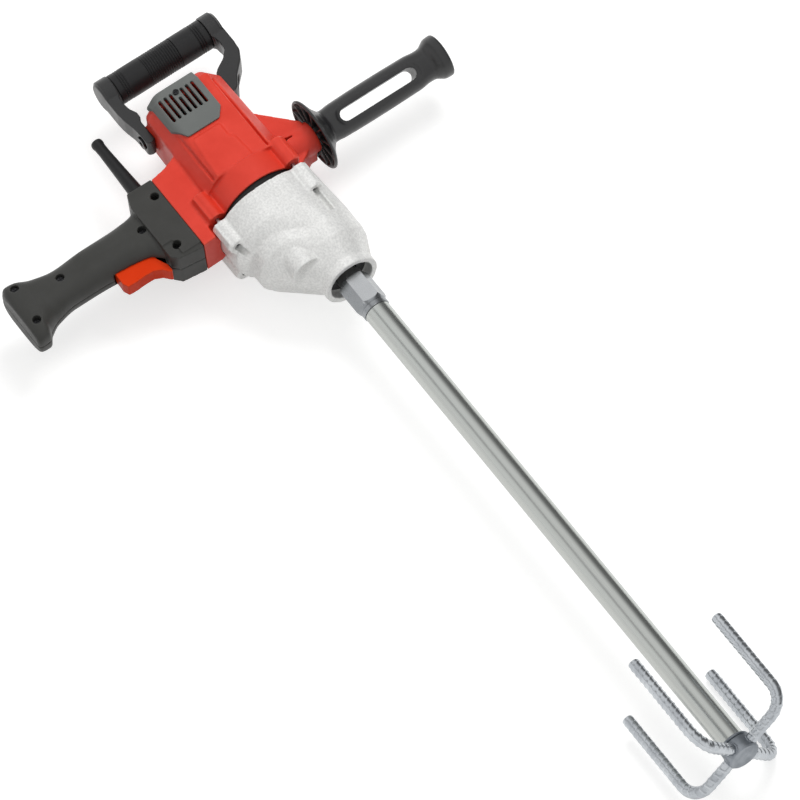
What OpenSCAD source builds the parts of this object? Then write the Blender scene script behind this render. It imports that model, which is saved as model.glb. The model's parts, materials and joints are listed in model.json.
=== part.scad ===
// Two-handed mixing drill: geared motor, D handle, side handle, pistol grip, rod and paddle.
// Frame: +X along the spindle towards the paddle, +Y from the pistol grip to the side handle,
// +Z out of the vented face. The origin is the centre of the nose's front rim.

/* [Nose and spindle] */
// Outer diameter of the nose rim
nose_d = 55; // [48:0.5:62]
// Diameter of the recess in the nose
nose_recess_d = 44; // [40:0.5:46]
// Depth of the recess in the nose
nose_recess_depth = 10; // [8:0.5:12]
// Outer diameter of the two spindle bearings
spindle_bearing_od = 42; // [40:0.5:43]
// Diameter of the spindle in its bearings
spindle_d = 20; // [18:0.5:21]
// Width of each spindle bearing
spindle_bearing_w = 12; // [10:0.5:13]
// Solid casting between the two spindle bearings
spindle_bearing_gap = 22; // [18:1:24]
// Diameter of the stud that the rod adaptor screws on to
stud_d = 14; // [12:0.5:16]

/* [Gear train] */
// Tooth size of the motor stage
module_1 = 1; // [0.9:0.05:1.1]
// Tooth size of the spindle stage
module_2 = 1.5; // [1.4:0.05:1.55]
// Width of the motor stage's gear
gear_1_w = 12; // [9:0.5:13]
// Width of the spindle gear
gear_2_w = 18; // [14:0.5:19]
// Backlash taken off each tooth
backlash = 0.1; // [0.06:0.01:0.15]
// Angle of the layshaft about the spindle
lay_angle = 148.5; // [140:0.5:155]
// Angle of the motor about the layshaft
motor_angle = -60; // [-66:0.5:-54]

/* [Gear housing] */
// Radius of the gear housing round the motor axis
gear_drum_r = 54; // [52:0.5:57]
// Radius of the neck round the spindle
neck_r = 38; // [35:0.5:40]
// Wall of the gear housing
cast_wall = 4; // [3:0.25:5]
// Radius of the boss over the layshaft
lay_boss_r = 15; // [12.5:0.25:16]
// Length of the four screw lugs
lug_len = 28; // [22:1:32]
// Radius of the four screw lugs
lug_r = 9; // [8:0.25:10]
// Width of the flat strip on each upper lug
lug_strip_w = 8; // [6:0.5:10]

/* [Motor housing] */
// Width of the motor housing at the front
body_w = 86; // [82:0.5:90]
// Width of the motor housing at the rear
body_rear_w = 80; // [76:0.5:84]
// Height of the motor housing
body_h = 84; // [82:0.5:90]
// Length of the motor housing behind the gear plate
body_len = 134; // [128:1:140]
// Wall of the motor housing
body_wall = 3.5; // [2.5:0.25:4.5]
// Radius of the round collar at the front
collar_r = 45.5; // [44:0.5:47]
// Length of the round collar
collar_len = 24; // [18:1:28]

/* [Motor] */
// Outer diameter of the stator
stator_d = 74; // [70:0.5:75]
// Length of the stator
stator_len = 52; // [44:1:56]
// Diameter of the armature
armature_d = 44; // [40:0.5:46]
// Air gap between armature and stator
air_gap = 0.6; // [0.4:0.05:1]
// Diameter of the fan
fan_d = 72; // [66:0.5:73]

/* [Pistol grip] */
// Width of the grip, front to back
grip_w = 40; // [36:0.5:44]
// Thickness of the grip
grip_t = 36; // [32:0.5:40]
// Distance from the spindle to the end of the butt
grip_reach = 262; // [252:1:272]
// Travel of the trigger
trigger_travel = 7; // [4:0.5:8]

/* [Side handle] */
// Diameter of the side handle's guard flange
flange_d = 71; // [64:0.5:76]
// Distance from the spindle to the handle's free end
side_reach = 200; // [190:1:210]
// Width of the side grip
side_grip_w = 34; // [30:0.5:38]
// Width of the slot through the side grip
side_slot_w = 12; // [9:0.5:14]
// Length of the slot through the side grip
side_slot_len = 82; // [70:1:86]
// Angle that the side handle is turned to about its own axis
side_turn = 27; // [0:1:90]

/* [D handle] */
// Outer width of the D handle
d_w = 128; // [120:1:134]
// Diameter of the D handle's grip
d_grip_d = 30; // [27:0.5:33]
// Distance from the housing's rear to the grip's axis
d_reach = 46; // [42:1:52]
// Thickness of the D handle's arms
d_arm_t = 12; // [10:0.5:14]
// Distance of the grip's middle from the motor's axis, to the side handle's side
d_skew = 10; // [0:0.5:11]

/* [Rod and paddle] */
// Across-flats width of the rod adaptor
adaptor_af = 27; // [24:0.5:30]
// Length of the rod adaptor
adaptor_len = 38; // [34:1:44]
// Outer diameter of the mixing rod
rod_d = 25; // [22:0.5:28]
// Wall of the mixing rod
rod_wall = 2.5; // [1.5:0.25:4]
// Front end of the rod, measured from the nose
rod_end = 588; // [550:1:610]
// Diameter of the paddle's ribbed bars
bar_d = 10.5; // [9:0.25:12]
// Distance of the paddle's bars from the rod's axis
paddle_r = 63; // [58:1:68]
// Length of the paddle's bars along the rod
paddle_len = 104; // [95:1:114]
// Bend radius of the paddle's bars
paddle_bend_r = 20; // [16:0.5:24]

/* [Fits] */
// Gap between faces that are seated but not joined
seat_gap = 0.1; // [0.05:0.01:0.2]
// Radial gap of running and pressed fits
fit_gap = 0.03; // [0.02:0.01:0.08]

/* [Hidden] */

// Tooth counts, pressure angle and tooth proportions
teeth_motor = 10;
teeth_first = 38;
teeth_lay = 12;
teeth_spindle = 36;
pressure_angle = 25;
addendum = 0.9;
dedendum = 1.2;

// Axes of the gear train: spindle at the origin, then the layshaft, then the motor
centre_1 = module_1 * (teeth_motor + teeth_first) / 2;
centre_2 = module_2 * (teeth_lay + teeth_spindle) / 2;
lay_y = centre_2 * cos(lay_angle);
lay_z = centre_2 * sin(lay_angle);
motor_y = lay_y + centre_1 * cos(motor_angle);
motor_z = lay_z + centre_1 * sin(motor_angle);
gear_2_r = module_2 * (teeth_spindle / 2 + addendum);
gear_1_r = module_1 * (teeth_first / 2 + addendum);

// Stations along the spindle, from the nose rim backwards
seal_w = 6;
seal_x = -nose_recess_depth - seal_w;
front_bearing_x = seal_x - spindle_bearing_w;
rear_bearing_x = front_bearing_x - spindle_bearing_gap - spindle_bearing_w;
gear_2_x = rear_bearing_x - 2.5 - gear_2_w;
circlip_t = 1.5;
spindle_rear_x = gear_2_x - circlip_t - 2.5;
gear_1_x = spindle_rear_x - 3 - gear_1_w;
plate_x1 = gear_1_x - 4;
plate_t = 12;
plate_x0 = plate_x1 - plate_t;
plate_r = 42.5;
drum_top_r = gear_drum_r - 8;
split_gap = 7;
cast_rear_x = plate_x1 - 2.5;
body_x1 = cast_rear_x - split_gap;
body_x0 = body_x1 - body_len;
collar_x0 = body_x1 - collar_len;
lug_head_x = cast_rear_x + lug_len - 6;
screw_depth = 22;

// Motor stations
fan_w = 11;
fan_x = plate_x0 - 3.5 - fan_w;
stator_x1 = fan_x - 5;
stator_x0 = stator_x1 - stator_len;
commutator_w = 16;
commutator_r = 13;
commutator_x = stator_x0 - 14 - commutator_w;
brush_x = commutator_x + commutator_w / 2;
motor_bearing_w = 6;
rear_motor_bearing_w = 7;
rear_motor_bearing_r = 11;
rear_wall_x = body_x0 + 4;
rear_motor_bearing_x = rear_wall_x + 1.5;
motor_bearing_r = 12;
motor_journal_r = 6;
lay_journal_r = 5;
lay_bearing_r = 11;
lay_bearing_w = 6;
needle_w = 12;
needle_r = 9;
lay_front_r = 6;
lay_boss_x1 = seal_x - 6;
needle_x = lay_boss_x1 - 6 - needle_w;
lay_front_x = needle_x + needle_w + 1;
lay_pinion_x0 = gear_2_x - 2;
lay_pinion_x1 = gear_2_x + gear_2_w + 1;
spindle_r = spindle_d / 2;
spindle_bearing_r = spindle_bearing_od / 2;
plate_bearing_x = plate_x0 + 1.5;

// Handles, rod and paddle stations
vent_x = body_x0 + 25.5;
vent_len = 30;
vent_w = 50;
vent_t = 2.4;
vent_tip_x = body_x0 + 59;
vent_screw_x = body_x0 + 14;
face_y = -8;
side_x = body_x1 - 32;
block_x0 = side_x - 39;
block_x1 = side_x + 47;
grip_x = side_x - 3;
grip_root_y = -121;
block_y1 = -90;
block_z0 = motor_z - 22;
block_z1 = motor_z + 22;
d_grip_x = body_x0 - d_reach;
d_arm_y = d_w / 2;
d_foot_x1 = body_x0 + 25;
d_bolt_x = body_x0 + 15;
d_bolt_seat_y = d_arm_y - 17;
flange_y = motor_y + 77;
adaptor_x0 = 2;
adaptor_x1 = adaptor_x0 + adaptor_len;
stud_len = 24;
rod_r = rod_d / 2;
hub_len = 18;
bar_r = bar_d / 2;
bar_x = rod_end + 11;
bar_socket = 6;
hub_r = rod_r + 3;
bar_start_r = hub_r - bar_socket;
first_bar_angle = 36.7;
cord_y = -102;
cord_base_r = 7.5;
cord_tip_r = 5.2;
cord_bore_r = 4.2;
cord_sleeve_len = 74;
cord_base_x = block_x0 + 8.9;

/* Shared shapes */

// Cylinder along X from x0 to x1
module x_rod(x0, x1, r, fn = 64) {
    translate([x0, 0, 0]) rotate([0, 90, 0]) cylinder(h = x1 - x0, r = r, $fn = fn);
}

// Ring along X from x0 to x1
module x_ring(x0, x1, r_out, r_in) {
    difference() {
        x_rod(x0, x1, r_out);
        x_rod(x0 - 1, x1 + 1, r_in);
    }
}

// Cylinder along Y from y0 to y1
module y_rod(y0, y1, r, fn = 48) {
    translate([0, y0, 0]) rotate([-90, 0, 0]) cylinder(h = y1 - y0, r = r, $fn = fn);
}

// Places its children on the motor's axis
module at_motor() {
    translate([0, motor_y, motor_z]) children();
}

// Places its children on the layshaft's axis
module at_lay() {
    translate([0, lay_y, lay_z]) children();
}

// Rectangle of w by h about the origin, with corners of radius r
module round_rect(w, h, r) {
    square([w - 2 * r, h], center = true);
    square([w, h - 2 * r], center = true);
    for (sx = [-1, 1], sy = [-1, 1]) {
        translate([sx * (w / 2 - r), sy * (h / 2 - r)]) circle(r = r, $fn = 32);
    }
}

// Slot from x0 to x1 with round ends, w wide, cut from z0 to z1
module z_slot(x0, x1, w, z0, z1) {
    translate([0, 0, z0]) linear_extrude(z1 - z0) {
        translate([x0 + w / 2, -w / 2]) square([x1 - x0 - w, w]);
        translate([x0 + w / 2, 0]) circle(d = w, $fn = 24);
        translate([x1 - w / 2, 0]) circle(d = w, $fn = 24);
    }
}

// Ring of points for a loft: a superellipse, 2a by 2b, drawn in the plane across the path
function ring_point(t, a, b, p) =
    [a * sign(cos(t)) * pow(abs(cos(t)), 2 / p), b * sign(sin(t)) * pow(abs(sin(t)), 2 / p)];
// Section across Y at y: centre cx, cz and half sizes a, b
function y_section(s, n) = [for (i = [0:n - 1])
    let (q = ring_point(-360 * i / n, s[3], s[4], s[5])) [s[1] + q[0], s[0], s[2] + q[1]]];

// Closed solid through rings of n points each, given in order towards +X or +Y
module loft(rings, n) {
    last = len(rings) - 1;
    points = [for (r = rings) each r];
    sides = [for (k = [0:last - 1], i = [0:n - 1]) let (j = (i + 1) % n)
        each [[k * n + i, (k + 1) * n + i, (k + 1) * n + j],
              [k * n + i, (k + 1) * n + j, k * n + j]]];
    start = [for (i = [1:n - 2]) [0, i, i + 1]];
    end = [for (i = [1:n - 2]) [last * n, last * n + i + 1, last * n + i]];
    polyhedron(points = points, faces = concat(sides, start, end));
}

// Angle between the tooth's centre line and its flank at radius r
function flank_angle(r, base_r, half_tooth) =
    let (a = acos(min(1, base_r / r)))
    half_tooth - (tan(a) * 180 / PI - a) + (tan(pressure_angle) * 180 / PI - pressure_angle);

// Outline of an involute gear of z teeth, the first tooth centred on +X of the drawing
module gear_outline(m, z) {
    pitch_r = m * z / 2;
    base_r = pitch_r * cos(pressure_angle);
    root_r = pitch_r - dedendum * m;
    tip_r = pitch_r + addendum * m;
    half_tooth = 90 / z - backlash / 2 / pitch_r * 180 / PI;
    start_r = max(base_r, root_r + 0.01);
    radii = [start_r, start_r + (tip_r - start_r) * 0.35, start_r + (tip_r - start_r) * 0.7, tip_r];
    tooth = concat(
        [[root_r, flank_angle(start_r, base_r, half_tooth)]],
        [for (r = radii) [r, flank_angle(r, base_r, half_tooth)]]);
    count = len(tooth);
    polygon([for (k = [0:z - 1]) each concat(
        [for (i = [0:count - 1]) let (r = tooth[i][0], a = 360 * k / z - tooth[i][1])
            [r * cos(a), r * sin(a)]],
        [for (i = [count - 1:-1:0]) let (r = tooth[i][0], a = 360 * k / z + tooth[i][1])
            [r * cos(a), r * sin(a)]])]);
}

// Gear of width w from x, turned so that a tooth's centre points at angle a from +Y to +Z
module x_gear(x, w, m, z, a) {
    translate([x, 0, 0]) rotate([a, 0, 0]) rotate([90, 0, 90]) linear_extrude(w) gear_outline(m, z);
}

/* Gear train */

// Spindle from the gear to the stud that carries the rod adaptor
module output_spindle() {
    color("silver") {
        x_rod(spindle_rear_x, adaptor_x0 - seat_gap, spindle_r);
        x_rod(seal_x + seat_gap, adaptor_x0 - seat_gap, spindle_r + 2);
        x_rod(adaptor_x0 - 1, adaptor_x0 + stud_len, stud_d / 2);
    }
}

// Spindle gear, pressed on the spindle behind its bearings
module spindle_gear() {
    color("dimgray") difference() {
        union() {
            x_gear(gear_2_x, gear_2_w, module_2, teeth_spindle, lay_angle);
            x_rod(gear_2_x, rear_bearing_x - seat_gap, spindle_r + 4);
        }
        x_rod(gear_2_x - 1, rear_bearing_x + 1, spindle_r + fit_gap);
    }
}

// Retaining ring behind the spindle gear
module spindle_circlip() {
    color("dimgray") difference() {
        x_ring(gear_2_x - circlip_t - seat_gap, gear_2_x - seat_gap, spindle_r + 3, spindle_r + fit_gap);
        translate([gear_2_x - circlip_t - 1, -2, 0]) cube([circlip_t + 2, 4, spindle_r + 5]);
    }
}

// Outer rings of the spindle bearings, held in the casting
module spindle_bearing_outer_rings() {
    ring_r = spindle_bearing_r - fit_gap;
    color("gainsboro") for (x = [rear_bearing_x, front_bearing_x]) {
        x_ring(x + seat_gap, x + spindle_bearing_w - seat_gap, ring_r, spindle_r + 5.5);
    }
}

// Inner rings of the spindle bearings, on the spindle
module spindle_bearing_inner_rings() {
    ring_r = spindle_r + 5.5 - fit_gap;
    color("gainsboro") for (x = [rear_bearing_x, front_bearing_x]) {
        x_ring(x + seat_gap, x + spindle_bearing_w - seat_gap, ring_r, spindle_r + fit_gap);
    }
}

// Lip seal in front of the front bearing
module spindle_seal() {
    color("black") x_ring(seal_x + seat_gap, -nose_recess_depth, spindle_bearing_r - fit_gap,
        spindle_r + 2 + fit_gap);
}

// Layshaft with its cut pinion, from the gear plate to the needle bush
module layshaft() {
    color("silver") at_lay() {
        x_rod(plate_bearing_x, plate_x1 + 1, lay_journal_r);
        x_rod(plate_x1, lay_pinion_x0 + 1, lay_front_r);
        x_gear(lay_pinion_x0, lay_pinion_x1 - lay_pinion_x0, module_2, teeth_lay,
            lay_angle + 180 / teeth_lay);
        x_rod(lay_pinion_x1 - 1, lay_front_x, lay_front_r);
    }
}

// First-stage gear, keyed on the layshaft
module first_stage_gear() {
    color("dimgray") at_lay() difference() {
        union() {
            x_gear(gear_1_x, gear_1_w, module_1, teeth_first, motor_angle);
            x_rod(gear_1_x - 3, gear_1_x + gear_1_w, lay_front_r + 4);
        }
        x_rod(gear_1_x - 4, gear_1_x + gear_1_w + 1, lay_front_r + fit_gap);
    }
}

// Outer ring of the layshaft's ball bearing, in the gear plate
module layshaft_bearing_outer_ring() {
    color("gainsboro") at_lay() x_ring(plate_x1 - lay_bearing_w, plate_x1 - seat_gap,
        lay_bearing_r - fit_gap, lay_journal_r + 3);
}

// Inner ring of the layshaft's ball bearing
module layshaft_bearing_inner_ring() {
    color("gainsboro") at_lay() x_ring(plate_x1 - lay_bearing_w, plate_x1 - seat_gap,
        lay_journal_r + 3 - fit_gap, lay_journal_r + fit_gap);
}

// Drawn-cup needle bush in the boss of the casting
module layshaft_needle_bush() {
    color("gainsboro") at_lay() x_ring(needle_x, needle_x + needle_w, needle_r - fit_gap,
        lay_front_r + fit_gap);
}

/* Motor */

// Shaft with the motor pinion cut on its front end
module motor_shaft() {
    color("silver") at_motor() {
        x_rod(rear_motor_bearing_x + seat_gap, stator_x0 + 1, 4);
        x_rod(stator_x0, fan_x, 7);
        x_rod(fan_x - 1, plate_x1 + 1, motor_journal_r);
        x_gear(plate_x1, gear_1_x + gear_1_w + 1 - plate_x1, module_1, teeth_motor,
            motor_angle + 180 / teeth_motor);
    }
}

// Laminated core with its winding slots
module armature_core() {
    slot_count = 12;
    color("slategray") at_motor() difference() {
        x_rod(stator_x0, stator_x1, armature_d / 2);
        x_rod(stator_x0 - 1, stator_x1 + 1, 7 + fit_gap);
        for (k = [0:slot_count - 1]) rotate([360 * k / slot_count, 0, 0])
            translate([stator_x0 - 1, armature_d / 2 - 3, -1.2]) cube([stator_len + 2, 6, 2.4]);
    }
}

// End turns of the armature winding, in front of and behind the core
module armature_windings() {
    color("peru") at_motor() {
        x_ring(stator_x1 + seat_gap, fan_x - 0.6, armature_d / 2 - 3, 7 + fit_gap);
        x_ring(commutator_x + commutator_w + 1, stator_x0 - seat_gap, armature_d / 2 - 3, 4 + fit_gap);
    }
}

// Segmented copper commutator
module commutator() {
    segments = 24;
    color("chocolate") at_motor() difference() {
        x_ring(commutator_x, commutator_x + commutator_w, commutator_r, 4 + fit_gap);
        for (k = [0:segments - 1]) rotate([360 * k / segments, 0, 0])
            translate([commutator_x - 1, commutator_r - 1.2, -0.3]) cube([commutator_w + 2, 2, 0.6]);
    }
}

// Radial fan on the shaft, behind the gear plate
module cooling_fan() {
    blades = 16;
    hub_r = 12;
    disc_t = 2;
    color("darkslategray") at_motor() difference() {
        union() {
            x_rod(fan_x, fan_x + fan_w, hub_r);
            x_rod(fan_x + fan_w - disc_t, fan_x + fan_w, fan_d / 2);
            for (k = [0:blades - 1]) rotate([360 * k / blades, 0, 0])
                translate([fan_x, hub_r - 1, -0.75]) cube([fan_w, fan_d / 2 - hub_r, 1.5]);
        }
        x_rod(fan_x - 1, fan_x + fan_w + 1, motor_journal_r + fit_gap);
    }
}

// Laminated stator with two poles
module stator_core() {
    bore_r = armature_d / 2 + air_gap;
    color("slategray") at_motor() difference() {
        x_rod(stator_x0, stator_x1, stator_d / 2);
        x_rod(stator_x0 - 1, stator_x1 + 1, bore_r);
        for (side = [-1, 1]) translate([stator_x0 - 1, side * (bore_r + 4) - 6, -bore_r * 0.75])
            cube([stator_len + 2, 12, bore_r * 1.5]);
    }
}

// Two field coils, one on each side of the armature
module field_windings() {
    bore_r = armature_d / 2 + air_gap;
    color("peru") at_motor() for (side = [-1, 1])
        translate([stator_x0 - 6, side * (bore_r + 5.5) - 4, -bore_r * 0.75 + 0.3])
            cube([stator_len + 9, 8, bore_r * 1.5 - 0.6]);
}

// Outer rings of the motor's ball bearings: one in the gear plate, one in the rear wall
module motor_bearing_outer_rings() {
    color("gainsboro") at_motor() {
        x_ring(plate_bearing_x, plate_bearing_x + motor_bearing_w - seat_gap,
            motor_bearing_r - fit_gap, motor_journal_r + 4);
        x_ring(rear_motor_bearing_x + seat_gap, rear_motor_bearing_x + rear_motor_bearing_w,
            rear_motor_bearing_r - fit_gap, 7.5);
    }
}

// Inner rings of the motor's ball bearings, on the shaft
module motor_bearing_inner_rings() {
    color("gainsboro") at_motor() {
        x_ring(plate_bearing_x, plate_bearing_x + motor_bearing_w - seat_gap,
            motor_journal_r + 4 - fit_gap, motor_journal_r + fit_gap);
        x_ring(rear_motor_bearing_x + seat_gap, rear_motor_bearing_x + rear_motor_bearing_w,
            7.5 - fit_gap, 4 + fit_gap);
    }
}

// Carbon brushes, one on each side of the commutator
module carbon_brushes() {
    color("dimgray") at_motor() for (side = [-1, 1])
        translate([brush_x - 4, side > 0 ? commutator_r + 0.15 : -commutator_r - 0.15 - 14, -3])
            cube([8, 14, 6]);
}

// Brass brush boxes that guide the brushes, seated on the housing's side walls
module brush_holders() {
    wall_y = body_rear_w / 2 - body_wall - seat_gap;
    color("goldenrod") at_motor() for (side = [0, 1]) mirror([0, side, 0]) difference() {
        translate([brush_x - 6, commutator_r + 2.5, -5]) cube([12, wall_y - commutator_r - 2.5, 10]);
        translate([brush_x - 4.1, commutator_r, -3.1]) cube([8.2, 16, 6.2]);
    }
}

/* Castings and housings */

// Screw axes of the gear housing, as positions from the motor's axis
lug_places = [[-47, 21], [36, 33.5], [-44, -27], [44, -27]];
module at_lugs() {
    for (p = lug_places) translate([0, motor_y + p[0], motor_z + p[1]]) children();
}

// Bar with a flat outer face along a lug, turned to face away from the motor's axis
module lug_bar(x0, x1, w, reach) {
    for (p = lug_places) translate([0, motor_y + p[0], motor_z + p[1]])
        rotate([atan2(p[1], p[0]), 0, 0]) translate([x0, -lug_r, -w / 2]) cube([x1 - x0, lug_r + reach, w]);
}

// Cylinder along X, flattened: 2 * gear_drum_r wide in Y and 2 * drum_top_r high in Z, less an inset
module flat_drum(x0, x1, inset) {
    for (side = [-1, 1]) translate([0, side * (gear_drum_r - drum_top_r), 0])
        x_rod(x0, x1, drum_top_r - inset, 48);
}

// Outside of the gear case: drum on the motor axis, shoulder, neck on the spindle axis
module gear_case_outside() {
    hull() {
        at_motor() flat_drum(cast_rear_x, cast_rear_x + 32, 0);
        at_motor() flat_drum(cast_rear_x + 34, cast_rear_x + 38, 3);
        x_rod(rear_bearing_x, rear_bearing_x + 14, neck_r, 48);
    }
    hull() {
        at_motor() flat_drum(cast_rear_x + 36, cast_rear_x + 58, 7);
        x_rod(rear_bearing_x, -36, neck_r, 48);
        x_rod(-30, -28, neck_r - 2, 48);
    }
    hull() {
        at_motor() flat_drum(cast_rear_x + 58, cast_rear_x + 64, 11);
        x_rod(-34, -30, neck_r - 1, 48);
        x_rod(-12, -10, nose_d / 2 + 0.5, 48);
    }
    x_rod(-11, 0, nose_d / 2);
}

// Cast aluminium gear housing with the nose, the layshaft boss and four screw lugs
module gear_housing() {
    color("gainsboro") difference() {
        union() {
            gear_case_outside();
            at_lay() x_rod(rear_bearing_x, lay_boss_x1, lay_boss_r);
            at_lugs() x_rod(cast_rear_x, cast_rear_x + lug_len, lug_r, 32);
            lug_bar(cast_rear_x, cast_rear_x + lug_len - 2, lug_strip_w, lug_r + 0.8);
        }
        at_motor() {
            x_rod(cast_rear_x - 1, cast_rear_x + 2.6, plate_r + fit_gap);
            hull() flat_drum(cast_rear_x - 1, gear_1_x + gear_1_w + 2, cast_wall + 0.5);
        }
        x_rod(cast_rear_x, rear_bearing_x - 2, gear_2_r + 1.5);
        at_lay() {
            x_rod(gear_1_x - 1, gear_1_x + gear_1_w + 2, gear_1_r + 1.2);
            x_rod(gear_1_x, lay_pinion_x1 + 1.5, module_2 * teeth_lay / 2 + 3);
        }
        x_rod(rear_bearing_x - 3, rear_bearing_x + spindle_bearing_w, spindle_bearing_r);
        x_rod(rear_bearing_x, 1, spindle_r + 5);
        x_rod(front_bearing_x, 1, spindle_bearing_r);
        x_rod(-nose_recess_depth, 1, nose_recess_d / 2);
        at_lay() {
            x_rod(lay_pinion_x1, needle_x + 1, lay_front_r + 1.5);
            x_rod(needle_x, lay_front_x + 1, needle_r);
        }
        at_lugs() {
            x_rod(cast_rear_x - 1, lug_head_x + 1, 2.1, 24);
            x_rod(lug_head_x, lug_head_x + 32, 4.1, 32);
        }
    }
}

// Gear plate between the casting and the motor housing, with three bearing seats
module gear_plate() {
    color("black") difference() {
        at_motor() x_rod(plate_x0, plate_x1, plate_r);
        at_motor() {
            x_rod(plate_bearing_x, plate_bearing_x + motor_bearing_w, motor_bearing_r);
            x_rod(plate_x0 - 1, plate_x1 + 1, motor_journal_r + 3);
        }
        at_lay() {
            x_rod(plate_x1 - lay_bearing_w, plate_x1 + 1, lay_bearing_r);
            x_rod(plate_bearing_x - 0.5, plate_x1, lay_journal_r + 0.5);
        }
    }
}

// Screws through the casting's lugs into the motor housing's lugs
module housing_screws() {
    color("silver") at_lugs() {
        x_rod(body_x1 - screw_depth, lug_head_x + 1, 2.05, 24);
        difference() {
            x_rod(lug_head_x + seat_gap, lug_head_x + 4, 3.6, 32);
            x_rod(lug_head_x + 2, lug_head_x + 5, 2, 6);
        }
    }
}

// Section of the housing's shell across X: an octagon with rounded corners, grown by g
module body_section(w, h, g) {
    offset(r = 7 + g, $fn = 32) offset(delta = -7) polygon([for (sy = [-1, 1], k = [0:3])
        let (y = [w / 2 - 14, w / 2, w / 2, w / 2 - 14][k], z = [h / 2, h / 2 - 19, 19 - h / 2, -h / 2][k])
        [sy * y, sy * z]]);
}

// Housing's shell without collar, block and arm, grown by g
module body_outside(g) {
    hull() for (s = [[body_x0 - g, 22, 26], [body_x0 + 4 - g, 6, 10], [body_x0 + 12, 0, 0]])
        translate([s[0], 0, 0]) rotate([90, 0, 90]) linear_extrude(1)
            body_section(body_rear_w - s[1], body_h - s[2], g);
    hull() for (s = [[body_x0 + 12, body_rear_w], [collar_x0 - 1, body_w]])
        translate([s[0], 0, 0]) rotate([90, 0, 90]) linear_extrude(1) body_section(s[1], body_h, g);
}

// Panel on the vented face, between the vent cover and the collar
module panel_outline() {
    offset(r = 2, $fn = 24) offset(delta = -2) polygon([
        [vent_tip_x + 5, face_y - 15], [collar_x0 - 1, face_y - 20], [collar_x0 - 1, face_y + 19],
        [vent_tip_x + 24, face_y + 17], [vent_tip_x + 20, face_y + 13], [vent_tip_x + 5, face_y + 13]]);
}

// Outline of the vent cover seen from above: a shield that runs over the housing's rear edge
module vent_outline() {
    half = vent_w / 2;
    polygon([[body_x0 - 4, face_y - half], [vent_tip_x - 17, face_y - half], [vent_tip_x, face_y - half + 8],
        [vent_tip_x, face_y + half - 8], [vent_tip_x - 10, face_y + half], [body_x0 - 4, face_y + half]]);
}

// Opening of the housing under the vent cover, less an inset, round the screw's boss
module vent_opening(inset) {
    difference() {
        translate([vent_x, face_y]) round_rect(vent_len - 2 * inset, vent_w - 12 - 2 * inset, 5);
        translate([vent_screw_x, face_y]) circle(r = 4 + inset, $fn = 32);
        translate([vent_screw_x - 8, face_y - 4 - inset]) square([8, 8 + 2 * inset]);
    }
}

// Side block of the housing that carries the pistol grip
module grip_block() {
    translate([0, 0, block_z0]) linear_extrude(block_z1 - block_z0) polygon([
        [block_x0 + 1, block_y1], [block_x1, block_y1], [block_x1 - 2, motor_y - 30],
        [collar_x0, motor_y - 30], [block_x0 - 12, motor_y - 30], [block_x0 - 2, block_y1 + 16]]);
}

// Arm on the other side that carries the side handle, with its rear gusset and the groove between
module side_arm() {
    arm_y = flange_y;
    root_y = motor_y + 38;
    difference() {
        union() {
            translate([side_x, 0, motor_z]) y_rod(motor_y + 30, arm_y, 15);
            translate([side_x, 0, motor_z - 21]) linear_extrude(28)
                polygon([[0, arm_y - 5], [13, arm_y - 5], [13, arm_y - 12], [30, root_y], [0, root_y]]);
            translate([side_x, 0, motor_z - 21]) linear_extrude(34)
                polygon([[-52, root_y], [-13, arm_y - 4], [-2, arm_y - 4], [-2, root_y]]);
        }
        translate([side_x, 0, motor_z + 2]) linear_extrude(20)
            polygon([[-9, root_y - 2], [-2, root_y - 2], [-3, arm_y - 9]]);
    }
}

// Red motor housing: tapered shell with a round collar, grip block, arm and screw lugs
module motor_housing() {
    inner_w = body_rear_w - 2 * body_wall;
    inner_h = body_h - 2 * body_wall - 2;
    collar_in = stator_d / 2 + fit_gap;
    fan_room = fan_d / 2 + 2;
    color("firebrick") difference() {
        union() {
            at_motor() body_outside(0);
            at_motor() {
                x_rod(collar_x0 - 1, body_x1, collar_r);
                translate([0, 0, body_h / 2 - 3]) linear_extrude(4.2) panel_outline();
            }
            at_lugs() x_rod(collar_x0 - 5, body_x1, lug_r - 1, 32);
            lug_bar(collar_x0 - 4, body_x1 - 0.5, lug_strip_w, lug_r);
            grip_block();
            side_arm();
            at_motor() translate([d_bolt_x, 0, 0])
                y_rod(-body_rear_w / 2 - 1, body_rear_w / 2 + 1, 11);
        }
        at_motor() {
            x_rod(fan_x - 3, body_x1 + 1, fan_room);
            x_rod(body_x1 - 2.6, body_x1 + 1, plate_r + fit_gap);
            x_rod(stator_x0, fan_x, collar_in);
            translate([rear_wall_x + 10, 0, 0]) rotate([90, 0, 90])
                linear_extrude(stator_x0 - rear_wall_x - 10) body_section(inner_w, inner_h, 0);
            x_rod(rear_motor_bearing_x, rear_wall_x + 12, rear_motor_bearing_r);
            for (y = [-31, 28]) translate([0, y, 0])
                z_slot(body_x0 + 18, collar_x0 - 2, 2.6, body_h / 2 - 6, body_h / 2 + 6);
            translate([0, 0, body_h / 2 - 9]) linear_extrude(body_h) vent_opening(0);
            translate([vent_screw_x, face_y, body_h / 2 - 9]) cylinder(r = 1.6, h = 12, $fn = 24);
            hull() flat_drum(body_x1 + 0.3, 0, -0.6);
            for (side = [-1, 1]) translate([d_bolt_x, 0, 0]) y_rod(side * 60 - 30.5, side * 60 + 30.5, 3, 24);
        }
        at_lugs() x_rod(body_x1 - screw_depth - 1, body_x1 + 1, 2.1, 24);
        at_lugs() x_rod(body_x1 + 0.4, 0, lug_r + 1.8, 32);
        translate([side_x, 0, motor_z]) y_rod(motor_y + 40, flange_y + 1, 6);
        translate([block_x0 + 20, block_y1 - 1, motor_z - 10]) cube([60, 36, 20]);
    }
}

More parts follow.
